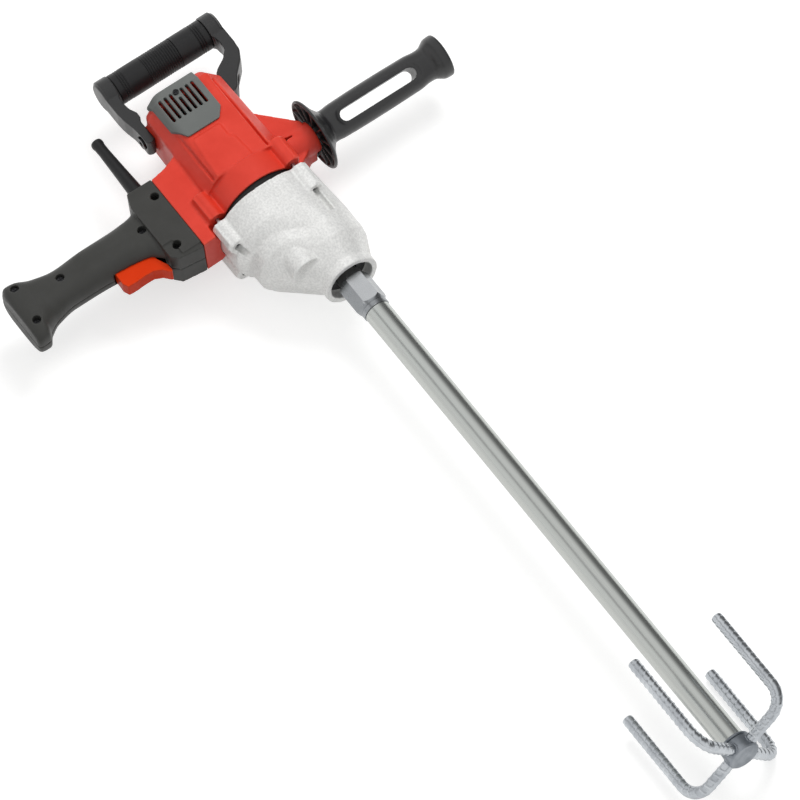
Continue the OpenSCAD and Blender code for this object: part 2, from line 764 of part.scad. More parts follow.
// Grey vent cover on the rear of the vented face
module rear_vent_cover() {
    slots = 7;
    pitch = 5.8;
    slot_w = 2.9;
    color("gray") at_motor() difference() {
        intersection() {
            body_outside(vent_t);
            translate([0, 0, body_h / 2 - 20]) linear_extrude(40)
                offset(r = 3, $fn = 24) offset(delta = -3) vent_outline();
        }
        difference() {
            body_outside(seat_gap);
            translate([0, 0, body_h / 2 - 2.5]) linear_extrude(6) vent_opening(0.5);
        }
        for (k = [0:slots - 1]) translate([0, face_y + (k - (slots - 1) / 2) * pitch, 0]) {
            z_slot(k == (slots - 1) / 2 ? vent_screw_x + 5.5 : vent_x - 13.5, vent_x + 13.5, slot_w,
                body_h / 2 - 5, body_h / 2 + 6);
        }
        translate([vent_screw_x, face_y, 0]) cylinder(r = 1.6, h = body_h, $fn = 24);
    }
}

// Countersunk screw of the vent cover
module vent_cover_screws() {
    top_z = body_h / 2 + vent_t;
    color("silver") at_motor() translate([vent_screw_x, face_y, 0]) {
        translate([0, 0, top_z - 9]) cylinder(r = 1.57, h = 9.5, $fn = 24);
        difference() {
            translate([0, 0, top_z + seat_gap]) cylinder(r = 2.8, h = 1.4, $fn = 32);
            translate([-2, -0.4, top_z + 0.8]) cube([4, 0.8, 2]);
            translate([-0.4, -2, top_z + 0.8]) cube([0.8, 4, 2]);
        }
    }
}

/* Rod and paddle */

// Hexagonal adaptor that screws on to the spindle's stud and carries the rod
module rod_adaptor() {
    corner_r = adaptor_af / sqrt(3);
    color("silver") difference() {
        union() {
            intersection() {
                x_rod(adaptor_x0, adaptor_x1 - 4, corner_r, 6);
                translate([adaptor_x0, 0, 0]) rotate([0, 90, 0]) rotate_extrude($fn = 64) polygon([
                    [0, 0], [corner_r - 1.5, 0], [corner_r + 0.1, 1.5], [corner_r + 0.1, adaptor_len - 9],
                    [rod_r, adaptor_len - 4], [0, adaptor_len - 4]]);
            }
            x_rod(adaptor_x1 - 5, adaptor_x1, rod_r + 0.8);
            x_rod(adaptor_x1 - 1, adaptor_x1 + 12, rod_r - rod_wall - fit_gap);
        }
        x_rod(adaptor_x0 - 1, adaptor_x0 + stud_len + 1, stud_d / 2 + fit_gap);
    }
}

// Tubular mixing rod
module mixing_rod() {
    color("lightgray") x_ring(adaptor_x1 + 0.05, rod_end, rod_r, rod_r - rod_wall);
}

// Hub welded into the end of the rod, with four sockets for the bars
module paddle_hub() {
    color("silver") difference() {
        union() {
            x_rod(rod_end - 14, rod_end + 1, rod_r - rod_wall - fit_gap);
            x_rod(rod_end + 0.05, rod_end + 4, rod_r + 1);
            x_rod(rod_end + 3, rod_end + hub_len, hub_r);
        }
        for (k = [0:3]) rotate([first_bar_angle + 90 * k, 0, 0])
            translate([bar_x, 0, 0]) y_rod(bar_start_r, hub_r + 2, bar_r + fit_gap, 32);
    }
}

// Bent ribbed bar: out from the hub, round a bend, and back along the rod
module paddle_arm(k) {
    rib_pitch = 6.5;
    rib_w = 1.6;
    rib_h = 0.55;
    radial_ribs = floor((paddle_r - paddle_bend_r - hub_r - 4) / rib_pitch);
    long_ribs = floor((paddle_len - paddle_bend_r - 8) / rib_pitch);
    color("silver") rotate([first_bar_angle + 90 * k, 0, 0]) {
        translate([bar_x, 0, 0]) {
            y_rod(bar_start_r, paddle_r - paddle_bend_r, bar_r, 32);
            for (i = [0:radial_ribs]) translate([0, hub_r + 3 + i * rib_pitch, 0]) rotate([18, 0, 0])
                y_rod(-rib_w / 2, rib_w / 2, bar_r + rib_h, 32);
        }
        translate([bar_x - paddle_bend_r, paddle_r - paddle_bend_r, 0])
            rotate_extrude(angle = 90, $fn = 64) translate([paddle_bend_r, 0]) circle(r = bar_r, $fn = 32);
        translate([0, paddle_r, 0]) {
            x_rod(bar_x - paddle_len, bar_x - paddle_bend_r, bar_r, 32);
            for (i = [0:long_ribs]) translate([bar_x - paddle_len + 4 + i * rib_pitch, 0, 0])
                rotate([0, 0, 18]) x_rod(-rib_w / 2, rib_w / 2, bar_r + rib_h, 32);
        }
    }
}

/* D handle */

// Point of the D handle seen from above, moved aside by d_skew behind x_full and not at all before x_none
function d_point(x, y, x_none, x_full) =
    [x, y + d_skew * max(0, min(1, (x_none - x) / (x_none - x_full)))];

// Outline of the arm on one side, from the grip to the foot on the housing's side
module d_arm_outline(side) {
    foot_y = body_rear_w / 2 + 1 + seat_gap;
    inner_y = d_arm_y - d_arm_t;
    outer = [[d_grip_x - d_grip_d / 2, d_arm_y], [body_x0 - 18, d_arm_y], [body_x0 - 8, d_arm_y - 1],
        [body_x0 + 2, d_arm_y - 5], [body_x0 + 13, d_arm_y - 11], [d_foot_x1 - 2, d_arm_y - 14],
        [d_foot_x1, d_arm_y - 17]];
    inner = [[d_foot_x1, foot_y], [body_x0 + 1, foot_y], [body_x0 - 3, foot_y + 1],
        [body_x0 - 9, inner_y - 5], [body_x0 - 16, inner_y], [body_x0 - 24, inner_y + 1],
        [d_grip_x + d_grip_d / 2 - 1, inner_y], [d_grip_x + d_grip_d / 2 - 4, inner_y - 2],
        [d_grip_x - d_grip_d / 2, inner_y - 2]];
    offset(r = 2.5, $fn = 24) offset(delta = -2.5) polygon(concat(
        [for (p = outer) d_point(p[0], side * p[1], body_x0 + 20, body_x0 - 2)],
        [for (p = inner) d_point(p[0], side * p[1], body_x0 + 1, body_x0 - 11)]));
}

// Moulded frame of the D handle: two arms, the caps and the core of the grip
module d_handle_frame() {
    arm_h = 22;
    color([0.13, 0.13, 0.13]) translate([0, motor_y, motor_z]) {
        difference() {
            for (side = [-1, 1]) translate([0, 0, -arm_h / 2]) linear_extrude(arm_h) intersection() {
                d_arm_outline(side);
                translate([d_grip_x, -100]) square([100, 200]);
            }
            for (side = [0, 1]) mirror([0, side, 0]) translate([d_bolt_x, 0, 0]) {
                y_rod(0, d_arm_y + 1, 3.3, 24);
                y_rod(d_bolt_seat_y, d_arm_y + 1, 6.6, 32);
            }
        }
        translate([d_grip_x, d_skew, 0]) {
            y_rod(-d_arm_y + d_arm_t - 2, d_arm_y - d_arm_t + 2, d_grip_d / 2 - 5);
            for (side = [0, 1]) mirror([0, side, 0]) {
                y_rod(d_arm_y - d_arm_t - 2, d_arm_y - 2, d_grip_d / 2 + 1);
                y_rod(d_arm_y - 3, d_arm_y, d_grip_d / 2 - 1);
            }
        }
    }
}

// Soft sleeve moulded round the D handle's core
module d_handle_grip_sleeve() {
    half_len = d_w / 2 - d_arm_t - 2 - seat_gap;
    rib_count = 9;
    rib_pitch = 4;
    color([0.18, 0.18, 0.18]) translate([d_grip_x, motor_y + d_skew, motor_z]) difference() {
        y_rod(-half_len, half_len, d_grip_d / 2);
        y_rod(-half_len - 1, half_len + 1, d_grip_d / 2 - 5 + fit_gap);
        for (i = [0:rib_count - 1]) translate([0, (i - (rib_count - 1) / 2) * rib_pitch, 0]) difference() {
            y_rod(-0.6, 0.6, d_grip_d / 2 + 1);
            y_rod(-1, 1, d_grip_d / 2 - 0.7);
        }
    }
}

// Bolts through the D handle's feet into the housing
module d_handle_bolts() {
    color("dimgray") translate([d_bolt_x, motor_y, motor_z]) for (side = [0, 1]) mirror([0, side, 0]) {
        y_rod(31, d_bolt_seat_y + 0.5, 2.97, 24);
        difference() {
            y_rod(d_bolt_seat_y + seat_gap, d_bolt_seat_y + 4.5, 6, 32);
            y_rod(d_bolt_seat_y + 2, d_bolt_seat_y + 6, 3, 6);
        }
    }
}

/* Side handle */

// Guard of the side handle: a hollow cone with radial ribs, open towards the housing
module side_guard() {
    flange_r = flange_d / 2;
    ribs = 12;
    rotate([-90, 0, 0]) translate([0, 0, flange_y]) rotate_extrude($fn = 72) polygon([
        [flange_r - 2.4, seat_gap], [flange_r, 0.8], [flange_r, 3], [flange_r - 3, 4.6], [26, 7.4],
        [19, 12.5], [12, 17], [10, 12], [18, 8.4], [25, 4.8], [flange_r - 2.6, 2.2]]);
    for (k = [0:ribs - 1]) rotate([0, 360 * k / ribs, 0]) translate([0, flange_y, -0.9])
        linear_extrude(1.8) polygon([[9, seat_gap], [flange_r - 1.5, seat_gap], [flange_r - 1.5, 2.5],
            [25.5, 5.4], [18.5, 9.5], [9, 13]]);
    y_rod(flange_y + seat_gap, flange_y + 14, 12.5);
}

// Side handle: ribbed guard, slotted grip and bell end
module side_handle_grip() {
    a = side_grip_w / 2;
    b = side_grip_w / 2 - 2.5;
    slot_y0 = flange_y + (side_reach - flange_y - side_slot_len) / 2 - 2;
    slot_y1 = slot_y0 + side_slot_len;
    ring_n = 24;
    color([0.12, 0.12, 0.12]) translate([side_x, 0, motor_z]) rotate([0, side_turn, 0]) difference() {
        union() {
            side_guard();
            loft([for (s = [
                    [flange_y + 12, 0, 0, a * 1.05, b * 1.1, 2], [flange_y + 17, 0, 0, a * 0.95, b, 2.2],
                    [flange_y + 26, 0, 0, a, b, 2.5], [flange_y + 60, 0, 0, a * 1.03, b * 1.03, 2.5],
                    [side_reach - 34, 0, 0, a, b, 2.5], [side_reach - 22, 0, 0, a * 0.93, b, 2.4],
                    [side_reach - 17, 0, 0, a * 0.95, b, 2.2], [side_reach - 12, 0, 0, a * 1.1, a * 1.1, 2],
                    [side_reach - 8, 0, 0, a * 1.22, a * 1.22, 2],
                    [side_reach - 1.5, 0, 0, a * 1.24, a * 1.24, 2],
                    [side_reach, 0, 0, a * 1.18, a * 1.18, 2]]) y_section(s, ring_n)], ring_n);
        }
        y_rod(flange_y - 1, flange_y + 18, 6);
        y_rod(side_reach - 3, side_reach + 1, a * 0.98, 48);
        rotate([0, 0, 90]) {
            z_slot(slot_y0, slot_y1, side_slot_w, -40, 40);
            for (z = [-40, b - 1.2]) z_slot(slot_y0 - 4, slot_y1 + 4, side_slot_w + 8, z, z + 41.2 - b);
        }
    }
}

// Stud that fastens the side handle in the housing's arm
module side_handle_stud() {
    color("silver") translate([side_x, 0, motor_z]) y_rod(motor_y + 42, flange_y + 17, 5.97);
}

/* Pistol grip, cord sleeve and switch */

// Positions of the grip's screws
grip_screw_places = [[-6, -211], [-21, -250], [18, -252], [-2, -125], [31, -109], [-22, -97]];
screw_seat_z = motor_z + 11;

// Outside of both grip shells together, less by an inset all round
module grip_outside(inset) {
    ring_n = 24;
    w = grip_w / 2 - inset;
    t = grip_t / 2 - inset;
    end_y = -grip_reach;
    translate([0, 0, motor_z]) {
        loft([for (s = [
                [end_y + inset, grip_x + 8, 0, w + 9, t - 4, 2.8],
                [end_y + 6 + inset, grip_x + 5, 0, w + 13.5, t, 3],
                [end_y + 13, grip_x + 5, 0, w + 13, t + 1, 3],
                [end_y + 19, grip_x + 2, 0, w + 9, t + 1, 2.8],
                [end_y + 30, grip_x + 1, 0, w + 3.5, t, 2.6],
                [end_y + 52, grip_x + 1, 0, w - 1, t - 0.5, 2.5],
                [grip_root_y - 60, grip_x, 0, w, t, 2.5],
                [grip_root_y - 30, grip_x + 1, 0, w + 1, t, 2.6],
                [grip_root_y - 12, grip_x + 6, 0, w + 6, t, 2.8],
                [grip_root_y - 4, side_x + 1, 0, w + 17, t + 0.5, 3],
                [grip_root_y + 6, side_x + 1, 0, w + 21, t, 3]])
            y_section(s, ring_n)], ring_n);
        translate([0, 0, block_z0 + inset - motor_z]) linear_extrude(block_z1 - block_z0 - 2 * inset)
            offset(delta = -inset) polygon([
                [block_x0, block_y1 - 26], [block_x0 + 14, grip_root_y], [block_x1 - 10, grip_root_y],
                [block_x1 - 3, grip_root_y + 6], [block_x1, block_y1 - seat_gap],
                [block_x0, block_y1 - seat_gap]]);
    }
}

// What is cut out of both shells: hollow, switch pocket, trigger window, step of the block's face,
// cord seat and screw holes
module grip_hollow() {
    difference() {
        grip_outside(3.5);
        for (p = grip_screw_places) translate([side_x + p[0], p[1], block_z0])
            cylinder(r = 6, h = 50, $fn = 24);
        translate([side_x - 30, -178, block_z0]) cube([60, 50, 50]);
    }
    translate([side_x - 21, -168, motor_z - 11.1]) cube([25, 33, 22.2]);
    translate([side_x + 10 - trigger_travel, -168.5, motor_z - 8]) cube([60, 46.5, 16]);
    translate([0, 0, block_z1 - 1.8]) linear_extrude(3) polygon([
        [block_x1 - 22, grip_root_y - 5], [block_x1 - 22, block_y1 - 20], [block_x1 - 5, block_y1 - 20],
        [block_x1 - 5, block_y1 + 1], [block_x1 + 1, block_y1 + 1], [block_x1 + 1, grip_root_y - 5]]);
    translate([0, cord_y, motor_z]) x_rod(block_x0 - 1, block_x0 + 5, cord_base_r + 0.05);
    translate([0, cord_y, motor_z]) x_rod(block_x0 + 3, block_x0 + 9, cord_base_r + 2.1);
    for (p = grip_screw_places) translate([side_x + p[0], p[1], block_z0 - 1]) {
        cylinder(r = 1.6, h = 60, $fn = 24);
        translate([0, 0, screw_seat_z - block_z0 + 1]) cylinder(r = 4, h = 30, $fn = 24);
    }
}

// Shell of the grip on the vented side
module grip_shell_vent_side() {
    color([0.25, 0.25, 0.25]) intersection() {
        difference() {
            grip_outside(0);
            grip_hollow();
        }
        translate([side_x - 150, -300, motor_z + 0.05]) cube([300, 300, 60]);
    }
}

// Shell of the grip on the other side
module grip_shell_back_side() {
    color([0.25, 0.25, 0.25]) intersection() {
        difference() {
            grip_outside(0);
            grip_hollow();
        }
        translate([side_x - 150, -300, motor_z - 60.05]) cube([300, 300, 60]);
    }
}

// Screws that close the two shells
module grip_screws() {
    color("dimgray") for (p = grip_screw_places) translate([side_x + p[0], p[1], 0]) {
        translate([0, 0, block_z0 + 8]) cylinder(r = 1.57, h = screw_seat_z - block_z0 - 7, $fn = 24);
        difference() {
            translate([0, 0, screw_seat_z + seat_gap]) cylinder(r = 3.4, h = 2, $fn = 24);
            translate([-2.4, -0.4, screw_seat_z + 1.2]) cube([4.8, 0.8, 2]);
            translate([-0.4, -2.4, screw_seat_z + 1.2]) cube([0.8, 4.8, 2]);
        }
    }
}

// Trigger, with the stem that slides in the switch
module trigger() {
    color("orangered") translate([side_x, 0, motor_z]) {
        translate([0, 0, -7.6]) linear_extrude(15.2) offset(r = 1.5, $fn = 16) offset(delta = -1.5) polygon([
            [13, -167], [28, -167.5], [34, -165], [34.2, -156], [33.6, -146], [34, -138],
            [37.5, -131], [44, -125.5], [44, -123.2], [36, -123.5], [26, -128], [13, -130]]);
        translate([0, -151, 0]) x_rod(-4, 14, 3, 32);
    }
}

// Sealed trigger switch
module switch_module() {
    color("black") difference() {
        translate([side_x - 20.9, -167.9, motor_z - 11]) cube([24.8, 32.8, 22]);
        translate([side_x, -151, motor_z]) x_rod(-14, 5, 3.1, 32);
    }
}

// Rubber sleeve where the cord would enter, with an open bore
module cord_sleeve() {
    color([0.1, 0.1, 0.1]) translate([cord_base_x, cord_y, motor_z]) rotate([0, -90, 0])
        rotate_extrude($fn = 48) polygon([
            [cord_bore_r, 0], [cord_base_r + 2, 0], [cord_base_r + 2, 3.9], [cord_base_r, 3.9],
            [cord_base_r, 18], [cord_tip_r, cord_sleeve_len + 3], [cord_tip_r + 0.7, cord_sleeve_len + 4],
            [cord_tip_r + 0.7, cord_sleeve_len + 8], [cord_tip_r - 0.4, cord_sleeve_len + 9],
            [cord_bore_r, cord_sleeve_len + 9]]);
}

motor_housing();
rear_vent_cover();
vent_cover_screws();
gear_housing();
gear_plate();
housing_screws();
stator_core();
field_windings();
motor_shaft();
armature_core();
armature_windings();
commutator();
cooling_fan();
motor_bearing_outer_rings();
motor_bearing_inner_rings();
brush_holders();
carbon_brushes();
layshaft();
first_stage_gear();
layshaft_bearing_outer_ring();
layshaft_bearing_inner_ring();
layshaft_needle_bush();
output_spindle();
spindle_gear();
spindle_circlip();
spindle_bearing_outer_rings();
spindle_bearing_inner_rings();
spindle_seal();
rod_adaptor();
mixing_rod();
paddle_hub();
paddle_arm(0);  // paddle_arm_1
paddle_arm(1);  // paddle_arm_2
paddle_arm(2);  // paddle_arm_3
paddle_arm(3);  // paddle_arm_4
d_handle_frame();
d_handle_grip_sleeve();
d_handle_bolts();
side_handle_grip();
side_handle_stud();
grip_shell_vent_side();
grip_shell_back_side();
grip_screws();
trigger();
switch_module();
cord_sleeve();
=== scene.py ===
"""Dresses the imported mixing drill: moulded housings, casting, handles, rod and ribbed paddle.

New surfaces are worked out with numpy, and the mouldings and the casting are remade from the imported
nodes with their fillets. All of it is in the drill's own frame: +X along the spindle towards the
paddle, +Y from the pistol grip to the side handle, +Z out of the vented face, with the origin at
the centre of the nose's front rim. Sizes are in millimetres, and meshes in metres.
"""

import json
import logging
import math
from dataclasses import dataclass
from enum import Enum
from functools import cache
from typing import Any, Optional, Sequence

import bmesh
import bpy
import numpy as np
from mathutils import Matrix, Vector

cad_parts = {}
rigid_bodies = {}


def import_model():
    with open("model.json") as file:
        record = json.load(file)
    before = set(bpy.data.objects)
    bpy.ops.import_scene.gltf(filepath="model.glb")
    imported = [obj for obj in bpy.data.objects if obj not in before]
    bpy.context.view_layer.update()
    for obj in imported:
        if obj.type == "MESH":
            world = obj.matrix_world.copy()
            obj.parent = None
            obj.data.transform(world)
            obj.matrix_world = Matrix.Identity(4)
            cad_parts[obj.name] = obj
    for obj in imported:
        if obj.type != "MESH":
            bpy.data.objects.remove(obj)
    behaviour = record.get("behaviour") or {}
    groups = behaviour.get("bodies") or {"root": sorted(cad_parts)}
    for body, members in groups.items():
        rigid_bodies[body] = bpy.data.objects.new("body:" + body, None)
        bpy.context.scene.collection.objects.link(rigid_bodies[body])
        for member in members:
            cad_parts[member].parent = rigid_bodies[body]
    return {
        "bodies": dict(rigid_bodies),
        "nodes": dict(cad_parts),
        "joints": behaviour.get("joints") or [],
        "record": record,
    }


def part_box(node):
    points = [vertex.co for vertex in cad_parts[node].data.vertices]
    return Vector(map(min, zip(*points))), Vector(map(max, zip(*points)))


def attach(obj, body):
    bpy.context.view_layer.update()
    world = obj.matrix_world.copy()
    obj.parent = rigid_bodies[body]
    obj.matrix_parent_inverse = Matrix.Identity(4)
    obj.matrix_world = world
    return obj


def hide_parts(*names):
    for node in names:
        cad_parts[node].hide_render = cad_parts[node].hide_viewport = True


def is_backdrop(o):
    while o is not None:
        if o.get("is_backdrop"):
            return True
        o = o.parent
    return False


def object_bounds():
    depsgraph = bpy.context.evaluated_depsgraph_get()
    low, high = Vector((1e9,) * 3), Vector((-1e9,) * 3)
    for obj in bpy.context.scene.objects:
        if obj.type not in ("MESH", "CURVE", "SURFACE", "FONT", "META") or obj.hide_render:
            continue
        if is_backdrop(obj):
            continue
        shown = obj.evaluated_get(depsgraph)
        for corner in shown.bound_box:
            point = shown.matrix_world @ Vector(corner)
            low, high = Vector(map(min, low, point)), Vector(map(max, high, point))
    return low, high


LOG = logging.getLogger("mixing_drill")
MM = 0.001
# Points closer than this are one point, in metres
MERGE_M = 1e-6
# Edges sharper than this stay crisp: on most pieces, on flat-sided ones and on swept ones
CREASE_DEG = 35.0
FLAT_DEG = 25.0
SWEPT_DEG = 60.0
# Width of the soft patches of colour and gloss in a finish
PATCH_MM = 22.22
Array = np.ndarray
Piece = bpy.types.Object
Pair = tuple[float, float]
Point = tuple[float, float, float]


class Axis(Enum):
    """Direction that a lathe or a prism runs in."""

    X = 0
    Y = 1
    Z = 2


class Keep(Enum):
    """What is left of a piece when another one cuts it."""

    OUTSIDE = "DIFFERENCE"
    BOTH = "UNION"
    INSIDE = "INTERSECT"


def srgb(hex_colour: str) -> tuple[float, float, float, float]:
    """Turns an sRGB hex colour into linear RGBA.

    Args:
        hex_colour: colour such as "#C23428".

    Returns:
        The linear red, green, blue and an alpha of 1.
    """
    parts = [int(hex_colour[i:i + 2], 16) / 255 for i in (1, 3, 5)]
    linear = [p / 12.92 if p <= 0.04045 else ((p + 0.055) / 1.055) ** 2.4 for p in parts]
    return (linear[0], linear[1], linear[2], 1.0)


WHITE = srgb("#FFFFFF")


def emptied_tree(owner: Any) -> bpy.types.NodeTree:
    """Turns on the nodes of a material or world and returns its tree, emptied."""
    owner.use_nodes = True
    owner.node_tree.nodes.clear()
    return owner.node_tree


def add_node(tree: bpy.types.NodeTree, kind: str, settings: Optional[dict[str, Any]] = None,
             inputs: Optional[dict[Any, Any]] = None) -> bpy.types.Node:
    """Adds a shader node, sets its properties, and sets or links its inputs.

    Args:
        tree: the material's node tree.
        kind: the node's type name.
        settings: property names and values.
        inputs: socket names or numbers, each with a value or an output socket to link.

    Returns:
        The new node.
    """
    node = tree.nodes.new(kind)
    for name, value in (settings or {}).items():
        setattr(node, name, value)
    for name, value in (inputs or {}).items():
        if isinstance(value, bpy.types.NodeSocket):
            tree.links.new(value, node.inputs[name])
        else:
            node.inputs[name].default_value = value
    return node


@dataclass(frozen=True)
class Finish:
    """One finish: colour, gloss, and the fine and coarse patterns of its surface.

    Attributes:
        name: the material's name.
        base: sRGB hex of the main colour.
        tint: sRGB hex that the colour drifts towards in soft patches.
        drift: how far it drifts, 0 to 1.
        roughness: mean roughness.
        rough_spread: how much the roughness varies.
        metallic: 1 for bare metal.
        grain_mm: size of the fine texture, drawn coarser than the real one, which is too fine
            to show in the render.
        grain_depth_mm: depth of the fine texture.
        stretch: how much longer than wide the grain is, along X.
        edge: sRGB hex of a painted highlight that lightens sharp convex edges, or None.
        speckle: how strongly the grain also lightens and darkens the colour.
        shine: specular level of a plastic; a metal keeps the default of 0.5.
    """

    name: str
    base: str
    tint: str
    drift: float = 0.3
    roughness: float = 0.5
    rough_spread: float = 0.08
    metallic: float = 0.0
    grain_mm: float = 0.9
    grain_depth_mm: float = 0.03
    stretch: float = 1.0
    edge: Optional[str] = None
    speckle: float = 0.0
    shine: float = 0.5

    @cache
    def material(self) -> bpy.types.Material:
        """Builds the node material once: soft patches, fine grain, painted highlight on sharp edges.

        Returns:
            The material.
        """
        material = bpy.data.materials.new(self.name)
        tree = emptied_tree(material)
        place = add_node(tree, "ShaderNodeTexCoord").outputs["Object"]
        stretched = add_node(tree, "ShaderNodeMapping", inputs={
            "Vector": place, "Scale": (1 / self.stretch, 1.0, 1.0)}).outputs["Vector"]
        patches = add_node(tree, "ShaderNodeTexNoise", inputs={
            "Vector": stretched, "Scale": 1 / (PATCH_MM * MM), "Detail": 4.0,
            "Roughness": 0.6}).outputs["Fac"]
        grain = add_node(tree, "ShaderNodeTexNoise", inputs={
            "Vector": stretched, "Scale": 0.5 / (self.grain_mm * MM), "Detail": 3.0,
            "Roughness": 0.55}).outputs["Fac"]
        spread = add_node(tree, "ShaderNodeMapRange", inputs={
            "Value": patches, "From Min": 0.35, "From Max": 0.65, "To Min": 0.0,
            "To Max": self.drift}).outputs["Result"]
        colour = add_node(tree, "ShaderNodeMix", {"data_type": "RGBA"}, {
            "Factor": spread, 6: srgb(self.base), 7: srgb(self.tint)}).outputs[2]
        if self.speckle:
            light = add_node(tree, "ShaderNodeMapRange", inputs={
                "Value": grain, "From Min": 0.3, "From Max": 0.7, "To Min": 1 - self.speckle,
                "To Max": 1 + self.speckle * 0.35}).outputs["Result"]
            colour = add_node(tree, "ShaderNodeVectorMath", {"operation": "SCALE"}, {
                0: colour, "Scale": light}).outputs["Vector"]
        # Painted highlight: sharp convex edges, found by pointiness, are mixed towards the paler edge
        # colour
        if self.edge:
            painted_edge_highlight = add_node(tree, "ShaderNodeMapRange", inputs={
                "Value": add_node(tree, "ShaderNodeNewGeometry").outputs["Pointiness"],
                "From Min": 0.52, "From Max": 0.6, "To Min": 0.0, "To Max": 0.55}).outputs["Result"]
            colour = add_node(tree, "ShaderNodeMix", {"data_type": "RGBA"}, {
                "Factor": painted_edge_highlight, 6: colour, 7: srgb(self.edge)}).outputs[2]
        rough = add_node(tree, "ShaderNodeMapRange", inputs={
            "Value": patches, "From Min": 0.3, "From Max": 0.7,
            "To Min": self.roughness - self.rough_spread,
            "To Max": self.roughness + self.rough_spread}).outputs["Result"]
        bump = add_node(tree, "ShaderNodeBump", inputs={
            "Height": grain, "Strength": 1.0,
            "Distance": self.grain_depth_mm * MM}).outputs["Normal"]
        shader = add_node(tree, "ShaderNodeBsdfPrincipled", inputs={
            "Base Color": colour, "Roughness": rough, "Metallic": self.metallic,
            "Normal": bump, "Specular IOR Level": self.shine})
        add_node(tree, "ShaderNodeOutputMaterial", inputs={"Surface": shader.outputs["BSDF"]})
        return material


# Glass-filled nylon, injection moulded: warm red, satin, with a fine spark-eroded grain
RED_NYLON = Finish("red_moulded_nylon", "#DA3B29", "#CB3322", drift=0.5, roughness=0.44,
                   edge="#EE6A55", shine=0.42)
# The same nylon in dark grey on the pistol grip: matt, with a painted sheen that lightens its edges
GREY_NYLON = Finish("dark_grey_moulded_nylon", "#3D3D3B", "#343432", roughness=0.46,
                    grain_depth_mm=0.04, edge="#5A5A57", shine=0.25)
# Mid grey nylon of the vent cover, matt
VENT_NYLON = Finish("vent_grey_moulded_nylon", "#6A6D6B", "#626563", roughness=0.55, grain_mm=0.8,
                    grain_depth_mm=0.04, edge="#8A8D8B", shine=0.3)
# Black nylon of the handles: glossier, so long soft highlights run along it
BLACK_NYLON = Finish("black_moulded_nylon", "#1F1F20", "#262627", roughness=0.34, grain_mm=1.1,
                     edge="#3E3E3F", shine=0.55)
# Soft black rubber of the grip sleeve and the cord sleeve: deep and dull
BLACK_RUBBER = Finish("black_moulded_rubber", "#1E1E1F", "#252526", roughness=0.42,
                      grain_depth_mm=0.05, shine=0.3)
# Acetal of the trigger: bright orange-red, slightly waxy
ORANGE_ACETAL = Finish("orange_moulded_acetal", "#D8380C", "#CA3008", roughness=0.4,
                       grain_depth_mm=0.015, edge="#F0754A", shine=0.1)
# Aluminium, sand cast and blasted: pale, with the coarse sparkle of the mould's sand
CAST_ALUMINIUM = Finish("sand_cast_aluminium", "#EEEEEC", "#E0E0DE", drift=0.3, roughness=0.46,
                        metallic=0.3, grain_mm=1.0, grain_depth_mm=0.13, edge="#FAFAF8",
                        speckle=0.18)
# Aluminium plate coated black
BLACK_PLATE = Finish("black_coated_aluminium", "#0E0E0E", "#141414", roughness=0.55, grain_mm=1.0,
                     grain_depth_mm=0.04)
# Steel tube, drawn and zinc plated: mirror-like along its length with fine drawing lines
DRAWN_ZINC = Finish("drawn_zinc_plated_steel", "#BFC3C0", "#AEAEAA", drift=0.5, roughness=0.26,
                    rough_spread=0.04, metallic=1.0, grain_mm=0.8, grain_depth_mm=0.006,
                    stretch=60.0)
# Machined steel with bright zinc, on the long screws and the side handle's stud
MACHINED_ZINC = Finish("machined_zinc_plated_steel", "#BDBEBF", "#AEB0B2", roughness=0.28,
                       metallic=1.0, grain_mm=0.6, grain_depth_mm=0.01)
# Turned steel of the hexagonal adaptor: the same zinc, smoother and darker
TURNED_ZINC = Finish("turned_zinc_plated_steel", "#94979A", "#7E8184", roughness=0.22,
                     metallic=1.0, grain_mm=1.4, grain_depth_mm=0.01, edge="#D6D8DA")
# Hot-rolled ribbed bar with bluish zinc: rougher, with dull patches
REBAR_ZINC = Finish("zinc_plated_ribbed_bar", "#C2C6CA", "#989DA3", drift=0.6, roughness=0.26,
                    metallic=1.0, grain_mm=1.0, edge="#E8ECF0")
# Weld metal under the same zinc: darker and rippled
WELD_ZINC = Finish("zinc_plated_weld", "#92979D", "#6C7278", drift=0.8, roughness=0.42,
                   metallic=1.0, grain_mm=1.8, grain_depth_mm=0.14)
# Ground and oiled steel of gears and shafts
OILED_STEEL = Finish("oiled_gear_steel", "#8C8C8E", "#77787A", roughness=0.3, metallic=1.0,
                     grain_mm=0.7, grain_depth_mm=0.01)
# Ground bearing steel
BEARING_STEEL = Finish("ground_bearing_steel", "#CFCFCF", "#C2C2C2", roughness=0.18, metallic=1.0,
                       grain_mm=0.6, grain_depth_mm=0.004)
# Screws with black zinc
BLACK_ZINC = Finish("black_zinc_screw_steel", "#3C3C3E", "#2E2E30", roughness=0.35, metallic=1.0,
                    grain_mm=0.7, grain_depth_mm=0.01)
# Stamped laminations, stacked along X
LAMINATION = Finish("stacked_laminations", "#6E7074", "#5C5E62", roughness=0.45, metallic=0.9,
                    grain_depth_mm=0.05)
# Enamelled copper wire and copper segments
COPPER = Finish("enamelled_copper", "#B8652F", "#9C5022", roughness=0.3, metallic=0.9)
# Drawn brass of the brush boxes
BRASS = Finish("drawn_brass", "#C9A256", "#B58F45", roughness=0.3, metallic=1.0, grain_mm=0.7,
               grain_depth_mm=0.01)
# Pressed carbon of the brushes
CARBON = Finish("pressed_carbon", "#1C1C1D", "#262627", roughness=0.6, grain_mm=0.7)

